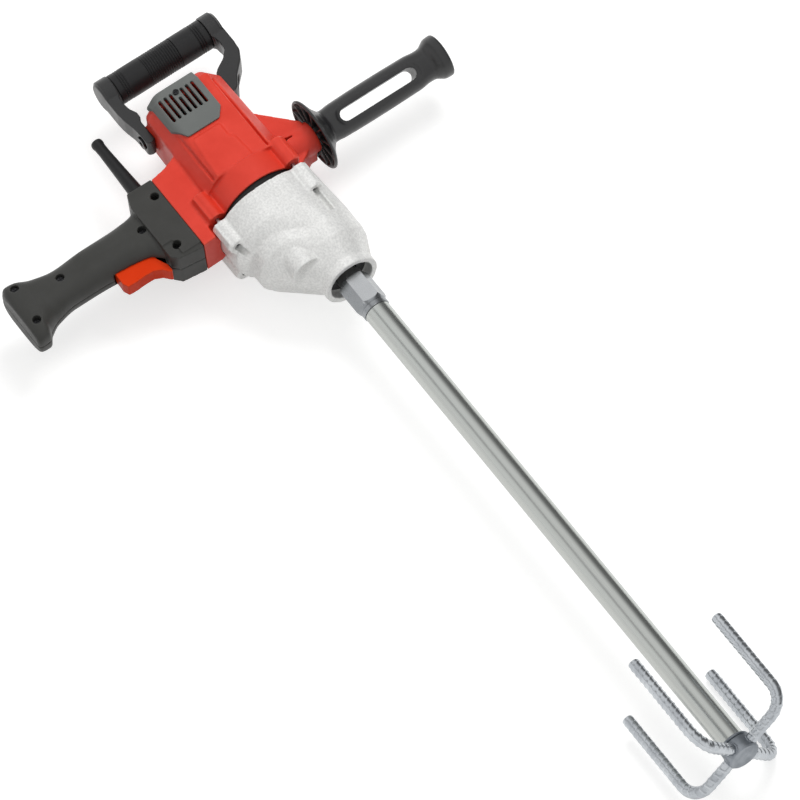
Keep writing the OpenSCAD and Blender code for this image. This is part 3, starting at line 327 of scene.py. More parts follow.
SLOT_FINISH: dict[str, Finish] = {
    "red_nylon": RED_NYLON, "grey_nylon": GREY_NYLON, "vent_grey": VENT_NYLON,
    "black_nylon": BLACK_NYLON, "black_rubber": BLACK_RUBBER, "orange_plastic": ORANGE_ACETAL,
    "cast_aluminium": CAST_ALUMINIUM, "plate_aluminium": BLACK_PLATE, "zinc_steel": MACHINED_ZINC,
    "rebar_steel": REBAR_ZINC, "gear_steel": OILED_STEEL, "bearing_steel": BEARING_STEEL,
    "screw_steel": BLACK_ZINC, "lamination_steel": LAMINATION, "copper": COPPER,
    "brush_brass": BRASS, "carbon": CARBON}

# Nodes that are finished otherwise than their slot
NODE_FINISH: dict[str, Finish] = {
    "vent_cover_screws": BLACK_ZINC, "rod_adaptor": TURNED_ZINC, "mixing_rod": DRAWN_ZINC,
    "paddle_hub": WELD_ZINC}


def linked(name: str, data: bpy.types.ID) -> Piece:
    """Makes an object of a mesh, lamp or camera and links it to the scene."""
    made = bpy.data.objects.new(name, data)
    bpy.context.scene.collection.objects.link(made)
    return made


def new_object(name: str, points: Array, faces: Sequence[Sequence[int]],
               smooth_deg: float = CREASE_DEG) -> Piece:
    """Makes an object from points and faces, smooth except across sharp edges.

    Args:
        name: the piece's name.
        points: rows of x, y, z in metres.
        faces: lists of point numbers.
        smooth_deg: edges sharper than this stay crisp.

    Returns:
        The linked object, at the origin.
    """
    mesh = bpy.data.meshes.new(name)
    mesh.from_pydata(points.reshape(-1, 3).tolist(), [], [list(map(int, f)) for f in faces])
    mesh.update()
    mesh.polygons.foreach_set("use_smooth", np.ones(len(mesh.polygons), bool))
    mesh.set_sharp_from_angle(angle=math.radians(smooth_deg))
    return linked(name, mesh)


def skin(name: str, rings: Array, closed: bool = False, smooth_deg: float = CREASE_DEG) -> Piece:
    """Skins rings of points, each closed on itself, into a closed surface.

    Args:
        name: the piece's name.
        rings: array of rings, points and coordinates.
        closed: whether the last ring joins the first; otherwise both are filled.
        smooth_deg: edges sharper than this stay crisp.

    Returns:
        The object, its normals outwards.
    """
    rows, cols = rings.shape[:2]
    r0, c0 = np.meshgrid(np.arange(rows if closed else rows - 1), np.arange(cols), indexing="ij")
    r1, c1 = (r0 + 1) % rows, (c0 + 1) % cols
    quads = np.stack([r0 * cols + c0, r0 * cols + c1, r1 * cols + c1, r1 * cols + c0], -1)
    faces = [tuple(q) for q in quads.reshape(-1, 4)]
    if not closed:
        faces.append(tuple(range(cols))[::-1])
        faces.append(tuple(range((rows - 1) * cols, rows * cols)))
    piece = new_object(name, rings, faces, smooth_deg)
    merge(piece.data, outward=True)
    return piece


def merge(mesh: bpy.types.Mesh, outward: bool) -> None:
    """Makes one point of those that share a place, and turns the faces outwards if asked."""
    work = bmesh.new()
    work.from_mesh(mesh)
    bmesh.ops.remove_doubles(work, verts=work.verts, dist=MERGE_M)
    if outward:
        bmesh.ops.recalc_face_normals(work, faces=work.faces)
    work.to_mesh(mesh)
    work.free()


def on_axis(along: Array, across: Array, up: Array, axis: Axis) -> Array:
    """Places lathe coordinates on X, Y or Z.

    Args:
        along: distance along the axis.
        across: first coordinate across it.
        up: second coordinate across it.
        axis: the axis.

    Returns:
        Rows of x, y, z.
    """
    return np.roll(np.stack([along, across, up], -1), axis.value, -1)


def around(count: int) -> Array:
    """Returns angles that are evenly spaced round a whole turn."""
    return np.linspace(0.0, 2 * np.pi, count, endpoint=False)


def lathe(name: str, profile: Sequence[Pair], axis: Axis, centre: Point, count: int = 64,
          closed: bool = False, smooth_deg: float = CREASE_DEG) -> Piece:
    """Revolves a profile of (distance along, radius), in millimetres, about an axis.

    Args:
        name: the piece's name.
        profile: points of the profile.
        axis: direction of the axis.
        centre: a point on the axis, in millimetres.
        count: points round the axis.
        closed: whether the profile closes on itself, as a ring's does.
        smooth_deg: edges sharper than this stay crisp.

    Returns:
        The object.
    """
    p = np.array(profile, float)
    t = around(count)
    along = np.repeat(p[:, :1], count, 1)
    across = p[:, 1:2] * np.cos(t)[None]
    up = p[:, 1:2] * np.sin(t)[None]
    rings = (on_axis(along, across, up, axis) + np.array(centre)) * MM
    return skin(name, rings, closed, smooth_deg)


def resample(rows: Sequence[Sequence[float]], count: int) -> Array:
    """Smoothly interpolates table rows with a monotone cubic in the first column.

    Args:
        rows: stations, each a row of numbers, the first of them rising or falling.
        count: number of stations wanted.

    Returns:
        The denser table.
    """
    table = np.array(rows, float)
    x = table[:, 0]
    sign = 1.0 if x[-1] > x[0] else -1.0
    xs = np.linspace(x[0], x[-1], count)
    out = [xs]
    h = np.diff(x)
    for column in table[:, 1:].T:
        d = np.diff(column) / h
        slope = np.zeros(len(x))
        slope[0], slope[-1] = d[0], d[-1]
        same = d[:-1] * d[1:] > 0
        slope[1:-1] = np.where(same, 2 * d[:-1] * d[1:] / np.where(same, d[:-1] + d[1:], 1.0), 0.0)
        k = np.clip(np.searchsorted(sign * x, sign * xs, side="right") - 1, 0, len(x) - 2)
        t = (xs - x[k]) / h[k]
        out.append((1 + 2 * t) * (1 - t) ** 2 * column[k] + t * (1 - t) ** 2 * h[k] * slope[k]
                   + t * t * (3 - 2 * t) * column[k + 1] + t * t * (t - 1) * h[k] * slope[k + 1])
    return np.stack(out, 1)


def loft_y(name: str, rows: Sequence[Sequence[float]], rings: int, count: int) -> Piece:
    """Lofts superellipse sections along Y; a monotone cubic runs through the table's rows.

    Args:
        name: the piece's name.
        rows: Y, centre X, centre Z, half width, half height and power, in millimetres.
        rings: number of sections made.
        count: points in each section.

    Returns:
        The object.
    """
    table = resample(rows, rings)
    t = around(count)
    c, s = np.cos(t)[None], np.sin(t)[None]
    a, b, p = (table[:, k:k + 1] for k in (3, 4, 5))
    r = (np.abs(c / a) ** p + np.abs(s / b) ** p) ** (-1 / p)
    x, z = table[:, 1:2] + r * c, table[:, 2:3] + r * s
    y = np.repeat(table[:, :1], count, 1)
    return skin(name, np.stack([x, y, z], -1) * MM, smooth_deg=SWEPT_DEG)


def boolean(piece: Piece, cutter: Piece, keep: Keep = Keep.OUTSIDE) -> None:
    """Cuts a piece with another, applies the result and deletes the cutter.

    Args:
        piece: the piece that is cut.
        cutter: the tool shape.
        keep: what is left.
    """
    cut = piece.modifiers.new("cut", "BOOLEAN")
    cut.object, cut.operation, cut.solver = cutter, keep.value, "MANIFOLD"
    settle(piece)
    bpy.data.objects.remove(cutter)
    piece.data.set_sharp_from_angle(angle=math.radians(CREASE_DEG))


def settle(piece: Piece) -> None:
    """Makes a piece's modifiers part of its mesh and shades it smooth."""
    graph = bpy.context.evaluated_depsgraph_get()
    mesh = bpy.data.meshes.new_from_object(piece.evaluated_get(graph))
    piece.modifiers.clear()
    old, piece.data = piece.data, mesh
    bpy.data.meshes.remove(old)
    mesh.polygons.foreach_set("use_smooth", np.ones(len(mesh.polygons), bool))


def relaxed(piece: Piece, passes: int) -> None:
    """Moves each point halfway to the mean of its neighbours, once for each pass."""
    relax = piece.modifiers.new("fillet", "SMOOTH")
    relax.factor, relax.iterations = 0.5, passes
    settle(piece)


def remade(piece: Piece, spacing_mm: float) -> None:
    """Remakes the surface of a closed piece from evenly spaced points."""
    remesh = piece.modifiers.new("skin", "REMESH")
    remesh.mode, remesh.voxel_size = "VOXEL", spacing_mm * MM
    settle(piece)


@dataclass(frozen=True)
class Fillets:
    """Rounding of a moulding's or casting's edges.

    Attributes:
        spacing_mm: spacing of the points that the surface is remade from.
        passes: number of smoothing passes; the radius grows with its square root.
    """

    spacing_mm: float
    passes: int

    def round_off(self, piece: Piece) -> None:
        """Remakes and relaxes a closed piece, so edges become radii and blends run together."""
        remade(piece, self.spacing_mm)
        relaxed(piece, self.passes)


def prism(name: str, outline: Sequence[Pair], low: float, high: float, axis: Axis,
          centre: Point = (0.0, 0.0, 0.0)) -> Piece:
    """Extrudes an outline along an axis, in millimetres.

    Args:
        name: the piece's name.
        outline: points across the axis, in the order that on_axis takes them.
        low: start along the axis.
        high: end along the axis.
        axis: direction of the extrusion.
        centre: what is added to every point.

    Returns:
        The object.
    """
    o = np.array(outline, float)
    rings = np.stack([on_axis(np.full(len(o), z), o[:, 0], o[:, 1], axis) for z in (low, high)])
    return skin(name, (rings + np.array(centre)) * MM, smooth_deg=FLAT_DEG)


def rounded_slot(length: float, width: float, count: int = 12) -> list[Pair]:
    """Outline of a slot with round ends along the first coordinate: two half circles."""
    r, half = width / 2, length / 2 - width / 2
    t = np.linspace(-np.pi / 2, np.pi / 2, count)
    right = np.stack([half + r * np.cos(t), r * np.sin(t)], 1)
    return [tuple(p) for p in np.concatenate([right, -right])]


def joined(name: str, parts: Sequence[Piece], smooth_deg: float = CREASE_DEG) -> Piece:
    """Puts separate closed shapes into one mesh and deletes them.

    Args:
        name: the new piece's name.
        parts: the shapes.
        smooth_deg: edges sharper than this stay crisp.

    Returns:
        The one object that holds them all.
    """
    work = bmesh.new()
    for part in parts:
        work.from_mesh(part.data)
        bpy.data.objects.remove(part)
    mesh = bpy.data.meshes.new(name)
    work.to_mesh(mesh)
    work.free()
    mesh.set_sharp_from_angle(angle=math.radians(smooth_deg))
    return linked(name, mesh)


def rod(name: str, axis: Axis, low: float, high: float, radius: float,
        centre: Point = (0.0, 0.0, 0.0), count: int = 48) -> Piece:
    """Plain round bar along an axis from low to high, in millimetres."""
    return lathe(name, [(low, radius), (high, radius)], axis, centre, count)


@dataclass
class Drill:
    """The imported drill, which its sub-assemblies share.

    Attributes:
    """

    frame: dict[str, Any]

    def box(self, node: str) -> tuple[Array, Array]:
        """Returns a node's lowest and highest corners in millimetres."""
        lo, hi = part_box(node)
        return np.array(lo) / MM, np.array(hi) / MM

    def joint(self, name: str) -> Array:
        """Returns a joint's place in millimetres."""
        return np.array(next(j for j in self.frame["joints"] if j["name"] == name)["pos_m"]) / MM

    def fit(self, piece: Piece, body: str, slot: str, node: str) -> None:
        """Gives a piece the material of its slot and its body, and hides the node that it stands for.

        Args:
            piece: the piece.
            body: the body that it moves with.
            slot: the record's material slot.
            node: the node that it replaces.
        """
        self.dress(piece, slot, node)
        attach(piece, body)
        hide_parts(node)
        LOG.info("%s: %d faces on %s", piece.name, len(piece.data.polygons), body)

    def recast(self, node: str, name: str, fillets: Fillets, body: str, slot: str) -> None:
        """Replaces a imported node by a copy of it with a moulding's or casting's fillets.

        Args:
            node: the node's name.
            name: the new piece's name.
            fillets: rounding of its edges.
            body: the body that it moves with.
            slot: the record's material slot.
        """
        mesh = self.frame["nodes"][node].data.copy()
        merge(mesh, outward=False)
        piece = linked(name, mesh)
        fillets.round_off(piece)
        self.fit(piece, body, slot, node)

    def dress(self, piece: Piece, slot: str, node: str) -> None:
        """Gives a piece the finish of its slot, or its node's own where it has one."""
        piece.data.materials.clear()
        piece.data.materials.append(NODE_FINISH.get(node, SLOT_FINISH[slot]).material())

    def dress_nodes(self) -> None:
        """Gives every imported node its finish."""
        for sub in self.frame["record"]["subparts"]:
            self.dress(self.frame["nodes"][sub["node"]], sub["material_slot"], sub["node"])


@dataclass
class MotorHousing:
    """Red shell of the motor with its vent cover.

    Attributes:
        drill: the drill that it belongs to.
        shell_fillets: rounding of the shell.
        cover_fillets: rounding of the vent cover.
    """

    drill: Drill
    shell_fillets: Fillets = Fillets(1.15, 2)
    cover_fillets: Fillets = Fillets(0.5, 3)

    def build(self) -> None:
        """Makes the shell with a moulding's rounded edges, and the slotted cover."""
        self.drill.recast("motor_housing", "red_motor_shell", self.shell_fillets, "root",
                          "red_nylon")
        self.drill.recast("rear_vent_cover", "grey_vent_cover", self.cover_fillets, "root",
                          "vent_grey")


@dataclass
class GearCase:
    """Sand-cast gear housing with its nose.

    Attributes:
        drill: the drill that it belongs to.
        fillets: rounding of the casting.
    """

    drill: Drill
    fillets: Fillets = Fillets(1.0, 4)

    def build(self) -> None:
        """Makes the casting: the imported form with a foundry's generous fillets."""
        self.drill.recast("gear_housing", "cast_gear_case", self.fillets, "root",
                          "cast_aluminium")


@dataclass
class DHandle:
    """Black D handle behind the motor: moulded frame and ribbed sleeve.

    Attributes:
        drill: the drill that it belongs to.
        rings: grooves round the middle of the sleeve.
        end_rings: grooves near each end.
        end_mm: distance of their middle from the sleeve's end.
        pitch_mm: spacing of the grooves.
        depth_mm: their depth.
        lip_mm: radius that rounds the sleeve's ends.
        wall_mm: the sleeve's wall.
        stations: points along the sleeve.
        fillets: rounding of the frame.
    """

    drill: Drill
    rings: int = 14
    end_rings: int = 3
    end_mm: float = 9.0
    pitch_mm: float = 2.4
    depth_mm: float = 0.7
    lip_mm: float = 1.5
    wall_mm: float = 4.97
    stations: int = 420
    fillets: Fillets = Fillets(0.8, 5)

    def sleeve(self) -> None:
        """Makes the sleeve: its radius less a cosine groove at each ring's station."""
        low, high = self.drill.box("d_handle_grip_sleeve")
        middle, half = (low + high) / 2, (high[1] - low[1]) / 2
        radius = (high[0] - low[0]) / 2
        y = np.linspace(-half, half, self.stations)
        wave = 0.5 + 0.5 * np.cos(2 * np.pi * y / self.pitch_mm)
        from_end = np.abs(np.abs(y) - half + self.end_mm)
        ringed = ((np.abs(y) < self.rings * self.pitch_mm / 2)
                  | (from_end < self.end_rings * self.pitch_mm / 2))
        groove = np.where(ringed, wave ** 2, 0.0)
        edge = np.clip((np.abs(y) - half + self.lip_mm) / self.lip_mm, 0, 1)
        r = radius - self.depth_mm * groove - self.lip_mm * (1 - np.sqrt(1 - edge ** 2 * 0.999))
        bore = radius - self.wall_mm
        piece = lathe("d_handle_sleeve", [(-half, bore), *zip(y, r), (half, bore)], Axis.Y,
                      tuple(middle), 96, closed=True)
        self.drill.fit(piece, "root", "black_rubber", "d_handle_grip_sleeve")

    def build(self) -> None:
        """Makes the frame with the soft edges of a moulding, and the sleeve."""
        self.drill.recast("d_handle_frame", "d_handle_moulding", self.fillets, "root",
                          "black_nylon")
        self.sleeve()


@dataclass
class SideHandle:
    """Black side handle: ribbed guard, slotted grip with a dished face, and bell end.

    Attributes:
        drill: the drill that it belongs to.
        turn_deg: angle that the handle is screwed up to.
        half_width_mm: half of the grip's width.
        slot_mm: length and width of the slot through it.
        dish_mm: how much longer and wider the dish round the slot is, and its depth.
        guard_ribs: radial ribs on the guard's inner side.
        fillets: rounding of the whole handle.
    """

    drill: Drill
    turn_deg: float = 27.0
    half_width_mm: float = 17.0
    slot_mm: Pair = (82.0, 12.0)
    dish_mm: Pair = (8.0, 1.3)
    guard_ribs: int = 12
    fillets: Fillets = Fillets(0.8, 3)

    def __post_init__(self) -> None:
        """Reads the handle's place from its box."""
        low, high = self.drill.box("side_handle_grip")
        stud_low, stud_high = self.drill.box("side_handle_stud")
        self.root_y, self.tip_y, self.flange_r = low[1] - 0.1, high[1], (high[2] - low[2]) / 2
        self.place = (stud_low + stud_high) / 2 * (1, 0, 1)

    def guard(self) -> list[Piece]:
        """Makes the guard: a thin cone with a rolled rim, its ribs and its boss."""
        y, r = self.root_y, self.flange_r
        cone = lathe("cone", [(y + d, q) for d, q in (
            (0.1, r - 2.4), (0.3, r - 1.0), (1.2, r), (2.6, r - 0.1), (3.6, r - 1.4), (4.8, r - 4),
            (6.4, 28), (9, 23), (12.5, 18.5), (17, 12), (12, 10), (8.4, 18), (5.2, 24.5),
            (2.4, r - 3.0))], Axis.Y, (0, 0, 0), 96, closed=True)
        ribs = []
        for k in range(self.guard_ribs):
            rib = prism("rib", [(q, y + d) for q, d in (
                (9, 0.2), (r - 1.5, 0.2), (r - 1.5, 3), (25.5, 6.4), (18.5, 10.5), (9, 14))],
                -0.9, 0.9, Axis.Z)
            rib.data.transform(Matrix.Rotation(2 * math.pi * k / self.guard_ribs, 4, "Y"))
            ribs.append(rib)
        return [cone, *ribs, rod("boss", Axis.Y, y + 0.1, y + 15, 12.5)]

    def grip(self) -> Piece:
        """Makes the grip with its slot, the dish round it and the hollow bell end."""
        y, tip, a = self.root_y, self.tip_y, self.half_width_mm
        b = a - 2.5
        piece = loft_y("grip", [
            (y + 12, 0, 0, a * 1.02, b * 1.1, 2), (y + 17, 0, 0, a * 0.95, b, 2.2),
            (y + 26, 0, 0, a, b, 2.5), (y + 60, 0, 0, a * 1.03, b * 1.03, 2.5),
            (tip - 34, 0, 0, a, b, 2.5), (tip - 22, 0, 0, a * 0.93, b, 2.4),
            (tip - 17, 0, 0, a * 0.95, b, 2.2), (tip - 12, 0, 0, a * 1.1, a * 1.1, 2),
            (tip - 8, 0, 0, a * 1.22, a * 1.22, 2), (tip - 1.5, 0, 0, a * 1.24, a * 1.24, 2),
            (tip, 0, 0, a * 1.16, a * 1.16, 2)], 120, 72)
        length, width = self.slot_mm
        wider, depth = self.dish_mm
        middle, far = y + (tip - y - length) / 2 - 2 + length / 2, 40.0
        for extra, low, high in ((0.0, -far, far), (wider, b - depth, far),
                                 (wider, -far, depth - b)):
            outline = [(q, w) for w, q in rounded_slot(length + extra, width + extra)]
            boolean(piece, prism("slot", outline, low, high, Axis.Z, (0, middle, 0)))
        boolean(piece, rod("bell", Axis.Y, tip - 3, tip + 1, a * 0.98))
        return piece

    def build(self) -> None:
        """Joins guard and grip, opens the stud's bore, rounds every edge and turns the whole."""
        piece = joined("side_handle_moulding", [self.grip(), *self.guard()])
        remade(piece, self.fillets.spacing_mm)
        boolean(piece, rod("bore", Axis.Y, self.root_y - 1, self.root_y + 18, 6.0))
        relaxed(piece, self.fillets.passes)
        turn = Matrix.Rotation(math.radians(self.turn_deg), 4, "Y")
        piece.data.transform(Matrix.Translation(Vector(self.place) * MM) @ turn)
        self.drill.fit(piece, "root", "black_nylon", "side_handle_grip")


@dataclass
class PistolGrip:
    """Dark grey pistol grip in two shells, its trigger and the cord's sleeve.

    Attributes:
        drill: the drill that it belongs to.
        width_mm: width of the grip, front to back.
        thickness_mm: thickness of the grip.
        wall_mm: wall of the shells.
        root_mm: Y of the grip block's lower side, where the grip starts.
        cord_mm: Y of the cord's sleeve.
        parting_mm: half of the gap between the shells.
        screws: X from the side handle's axis, and Y, of the screws.
        shell_fillets: rounding of the shells.
        trigger_fillets: rounding of the trigger.
    """

    drill: Drill
    width_mm: float = 40.0
    thickness_mm: float = 36.0
    wall_mm: float = 3.5
    root_mm: float = -121.0
    cord_mm: float = -102.0
    parting_mm: float = 0.05
    screws: tuple[Pair, ...] = (
        (-6, -211), (-21, -250), (18, -252), (-2, -125), (31, -109), (-22, -97))
    shell_fillets: Fillets = Fillets(0.9, 3)
    trigger_fillets: Fillets = Fillets(0.45, 6)

    def __post_init__(self) -> None:
        """Reads the grip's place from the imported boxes."""
        stud_low, stud_high = self.drill.box("side_handle_stud")
        low, high = self.drill.box("grip_shell_vent_side")
        back_low, _ = self.drill.box("grip_shell_back_side")
        self.x = (stud_low[0] + stud_high[0]) / 2
        self.end_y, self.top_y = low[1], high[1]
        self.rear_x, self.front_x = self.x - 39, self.x + 47
        self.z = self.drill.joint("armature_turn")[2]
        self.low_z, self.high_z = back_low[2], high[2]

    def outside(self, inset: float) -> Piece:
        """Makes the outside of both shells, or of the hollow when inset by the wall."""
        w, t = self.width_mm / 2 - inset, self.thickness_mm / 2 - inset
        x, z, end, root = self.x - 3, self.z, self.end_y, self.root_mm
        body = loft_y("grip", [
            (end + inset, x + 8, z, w + 8, t - 4, 3.2),
            (end + 1.2 + inset, x + 7, z, w + 11, t - 2, 3.6),
            (end + 6 + inset, x + 5, z, w + 13.5, t, 4), (end + 12, x + 5, z, w + 13, t + 1, 4),
            (end + 18, x + 2, z, w + 9, t + 1, 3.4), (end + 30, x + 1, z, w + 3.5, t - 0.5, 2.8),
            (end + 52, x + 1, z, w - 1, t - 0.5, 2.7), (root - 60, x, z, w, t, 2.7),
            (root - 30, x + 1, z, w + 1, t, 2.8), (root - 12, x + 2, z, w + 3, t, 3),
            (root - 4, x + 4.5, z, w + 7, t + 0.5, 3), (root + 6, x + 8.5, z, w + 16.5, t, 3)],
            150, 96)
        i, top = inset, self.top_y - inset
        block = prism("block", [
            (self.rear_x + i, -116 + i * 0.6), (self.rear_x + 14 + i * 0.5, root + i),
            (self.front_x - 10 - i * 0.5, root + i), (self.front_x - 3 - i, root + 6 + i),
            (self.front_x - i, top), (self.rear_x + i, top)],
            self.low_z + i, self.high_z - i, Axis.Z)
        boolean(body, block, Keep.BOTH)
        return body

    def hollow(self) -> Piece:
        """Makes the inside that is cut out, less the screw posts."""
        inside = self.outside(self.wall_mm)
        for x, y in self.screws:
            boolean(inside, rod("post", Axis.Z, self.low_z - 1, self.high_z + 1, 6.0,
                                (self.x + x, y, 0)))
        return inside

    def cutters(self) -> list[Piece]:
        """Makes the pockets of switch and trigger, the cord's seat, the step and screw holes."""
        x, z, y, top = self.x, self.z, self.cord_mm, self.high_z
        found = [
            prism("switch", [(x - 21, -168), (x + 4, -168), (x + 4, -135), (x - 21, -135)],
                  z - 11.1, z + 11.1, Axis.Z),
            prism("window", [(x + 3, -168.5), (x + 63, -168.5), (x + 63, -122), (x + 3, -122)],
                  z - 8, z + 8, Axis.Z),
            rod("cord", Axis.X, self.rear_x - 1, self.rear_x + 5, 7.55, (0, y, z)),
            rod("cord_rim", Axis.X, self.rear_x + 3, self.rear_x + 9, 9.6, (0, y, z)),
            prism("step", [(x + 25, -126), (x + 25, -110), (x + 42, -110), (x + 42, -88),
                           (x + 57, -88), (x + 57, -126)], top - 2.0, top + 5, Axis.Z)]
        for dx, dy in self.screws:
            place = (x + dx, dy, 0)
            found.append(rod("hole", Axis.Z, self.low_z - 1, top + 1, 1.6, place, 24))
            found.append(rod("sink", Axis.Z, z + 11, top + 5, 4.0, place, 32))
        return found

    def shells(self) -> None:
        """Makes the two shells, parted on the grip's middle plane."""
        body = self.outside(0.0)
        boolean(body, self.hollow())
        for cutter in self.cutters():
            boolean(body, cutter)
        x, z, far = self.x, self.z, 90.0
        for node, name, low, high in (
                ("grip_shell_vent_side", "grip_moulding_vent_side", self.parting_mm, far),
                ("grip_shell_back_side", "grip_moulding_back_side", -far, -self.parting_mm)):
            half = linked(name, body.data.copy())
            side = [(x - 150, -300), (x + 150, -300), (x + 150, 0), (x - 150, 0)]
            boolean(half, prism("half", side, z + low, z + high, Axis.Z), Keep.INSIDE)
            self.shell_fillets.round_off(half)
            self.drill.fit(half, "root", "grey_nylon", node)
        bpy.data.objects.remove(body)

    def sleeve(self) -> None:
        """Makes the rubber sleeve: a taper with a rounded lip, open along its bore."""
        low, high = self.drill.box("cord_sleeve")
        base, tip, y, z = high[0], low[0], (low[1] + high[1]) / 2, (low[2] + high[2]) / 2
        taper = [(base - 14 - 55 * k / 12, 7.5 - 2.3 * (k / 12) ** 0.8) for k in range(13)]
        profile = [(base, 4.2), (base, 9.3), (base - 0.3, 9.5), (base - 3.7, 9.5),
                   (base - 3.9, 7.7), (base - 4.6, 7.5), *taper,
                   (tip + 6.5, 5.3), (tip + 5.2, 5.7), (tip + 3.5, 5.9),
                   (tip + 1.6, 5.7), (tip + 0.4, 5.2), (tip, 4.6), (tip, 4.2)]
        piece = lathe("rubber_cord_sleeve", profile, Axis.X, (0, y, z), 64, closed=True,
                      smooth_deg=50.0)
        self.drill.fit(piece, "root", "black_rubber", "cord_sleeve")

    def build(self) -> None:
        """Makes the shells, the trigger with its soft moulded edges, and the sleeve."""
        self.shells()
        self.drill.recast("trigger", "orange_trigger", self.trigger_fillets, "trigger_key",
                          "orange_plastic")
        self.sleeve()


@dataclass
class RodAndPaddle:
    """Hexagonal adaptor, polished rod, and the paddle of four ribbed bars.

    Attributes:
        drill: the drill that it belongs to.
        flats_mm: width of the adaptor across its flats.
        collar_mm: X of the adaptor's collar.
        edge_mm: width that the adaptor's edges are rounded by.
        bar_mm: diameter of the bars.
        bend_mm: radius of their bend, on the bar's axis.
        start_mm: distance of a bar's start from the rod's axis.
        reach_mm: distance of its long stretch from the rod's axis.
        rib_pitch_mm: spacing of the bars' slanted ribs.
        rib_mm: height of the ribs.
        weld_mm: radius of the bead of weld at a bar's root.
        first_deg: angle of the first bar about the rod.
    """

    drill: Drill
    flats_mm: float = 27.0
    collar_mm: float = 35.0
    edge_mm: float = 0.35
    bar_mm: float = 10.5
    bend_mm: float = 20.0
    start_mm: float = 9.5
    reach_mm: float = 63.0
    rib_pitch_mm: float = 6.6
    rib_mm: float = 0.55
    weld_mm: float = 1.4
    first_deg: float = 36.7

    def adaptor(self) -> None:
        """Makes the hexagon, turned down at both ends, with the collar that the rod sits on."""
        low, high = self.drill.box("rod_adaptor")
        start, collar = low[0], self.collar_mm
        corner = self.flats_mm / math.sqrt(3)
        angles = np.arange(6) * math.pi / 3
        hexagon = prism("adaptor", [(corner * math.cos(a), corner * math.sin(a)) for a in angles],
                        start, collar + 1, Axis.X)
        boolean(hexagon, lathe("turning", [
            (start, corner - 1.5), (start + 0.8, corner - 0.5), (start + 1.6, corner + 0.1),
            (collar - 4.5, corner + 0.1), (collar, 12.5), (collar + 1, 12.4)],
            Axis.X, (0, 0, 0), 96), Keep.INSIDE)
        ring = lathe("collar", [(collar, 12.4), (collar + 0.2, 13.1), (collar + 0.6, 13.3),
                                (collar + 4.4, 13.3), (collar + 4.9, 13.0), (collar + 5, 9.9),
                                (high[0], 9.9)], Axis.X, (0, 0, 0), 96)
        piece = joined("hexagonal_adaptor", [hexagon, ring], 20.0)
        bevel = piece.modifiers.new("edge", "BEVEL")
        bevel.width, bevel.segments = self.edge_mm * MM, 2
        bevel.limit_method, bevel.angle_limit = "ANGLE", math.radians(30.0)
        self.drill.fit(piece, "spindle", "zinc_steel", "rod_adaptor")

    def rod(self) -> None:
        """Makes the tube, its ends broken by a fine chamfer."""
        low, high = self.drill.box("mixing_rod")
        x0, x1, r = low[0], high[0], high[1]
        steps = [(x, r) for x in np.linspace(x0 + 0.4, x1 - 0.4, 24)]
        piece = lathe("polished_rod", [(x0, r - 2.47), (x0, r - 0.4), *steps, (x1, r - 0.4),
                                       (x1, r - 2.47)], Axis.X, (0, 0, 0), 128, closed=True)
        self.drill.fit(piece, "spindle", "zinc_steel", "mixing_rod")

    def hub(self) -> None:
        """Makes the hub with a bead of weld round the rod's end and round the root of each bar.

        A root's bead is a ring whose tube swells and shrinks with the cosine of the turn.
        """
        low, high = self.drill.box("paddle_hub")
        bar_x = self.bar_x("paddle_arm_1")
        end, r = self.drill.box("mixing_rod")[1][0], high[1]
        bead = [(end + 0.1 + 3.2 * k / 8, r - 1.6 + 1.5 * math.sin(math.pi * k / 8))
                for k in range(9)]
        piece = lathe("welded_hub", [(low[0], 9.9), (end + 0.1, 9.9), *bead, (end + 3.6, r - 0.6),
                                     (end + 4.4, r), (high[0] - 1.2, r), (high[0], r - 1.2)],
                      Axis.X, (0, 0, 0), 96)
        turn, round_tube = np.meshgrid(around(48), around(12), indexing="ij")
        tube = self.weld_mm * (1 + 0.18 * np.cos(13 * turn))
        ring = self.bar_mm / 2 + 0.1 + tube * np.cos(round_tube)
        points = np.stack([bar_x + ring * np.cos(turn), r - 1.5 + tube * np.sin(round_tube),
                           ring * np.sin(turn)], -1)
        roots = []
        for number in range(4):
            roots.append(skin("root_weld", points * MM, closed=True, smooth_deg=SWEPT_DEG))
            roots[-1].data.transform(self.spin(number))
        piece = joined("welded_hub", [piece, *roots])
        self.drill.fit(piece, "spindle", "rebar_steel", "paddle_hub")

    def bar_x(self, node: str) -> float:
        """Returns the X of a bar's radial stretch, worked out from its node's box."""
        return self.drill.box(node)[1][0] - self.bar_mm / 2 - self.rib_mm

    def spin(self, number: int) -> Matrix:
        """Returns the turn about the rod of a bar, counted from 0."""
        return Matrix.Rotation(math.radians(self.first_deg + 90 * number), 4, "X")

    def path(self, along: Array, bar_x: float) -> tuple[Array, Array, Array]:
        """Runs out from the hub, round a quarter circle and back along the rod.

        Args:
            along: distances from the bar's start.
            bar_x: X of the radial stretch.

        Returns:
            X and Y of the bar's axis, and its direction's angle from +Y towards -X.
        """
        straight = self.reach_mm - self.bend_mm - self.start_mm
        arc = self.bend_mm * math.pi / 2
        angle = np.clip((along - straight) / self.bend_mm, 0, math.pi / 2)
        rest = np.maximum(along - straight - arc, 0)
        x = bar_x - self.bend_mm * (1 - np.cos(angle)) - rest
        y = self.start_mm + np.minimum(along, straight) + self.bend_mm * np.sin(angle)
        return x, y, angle

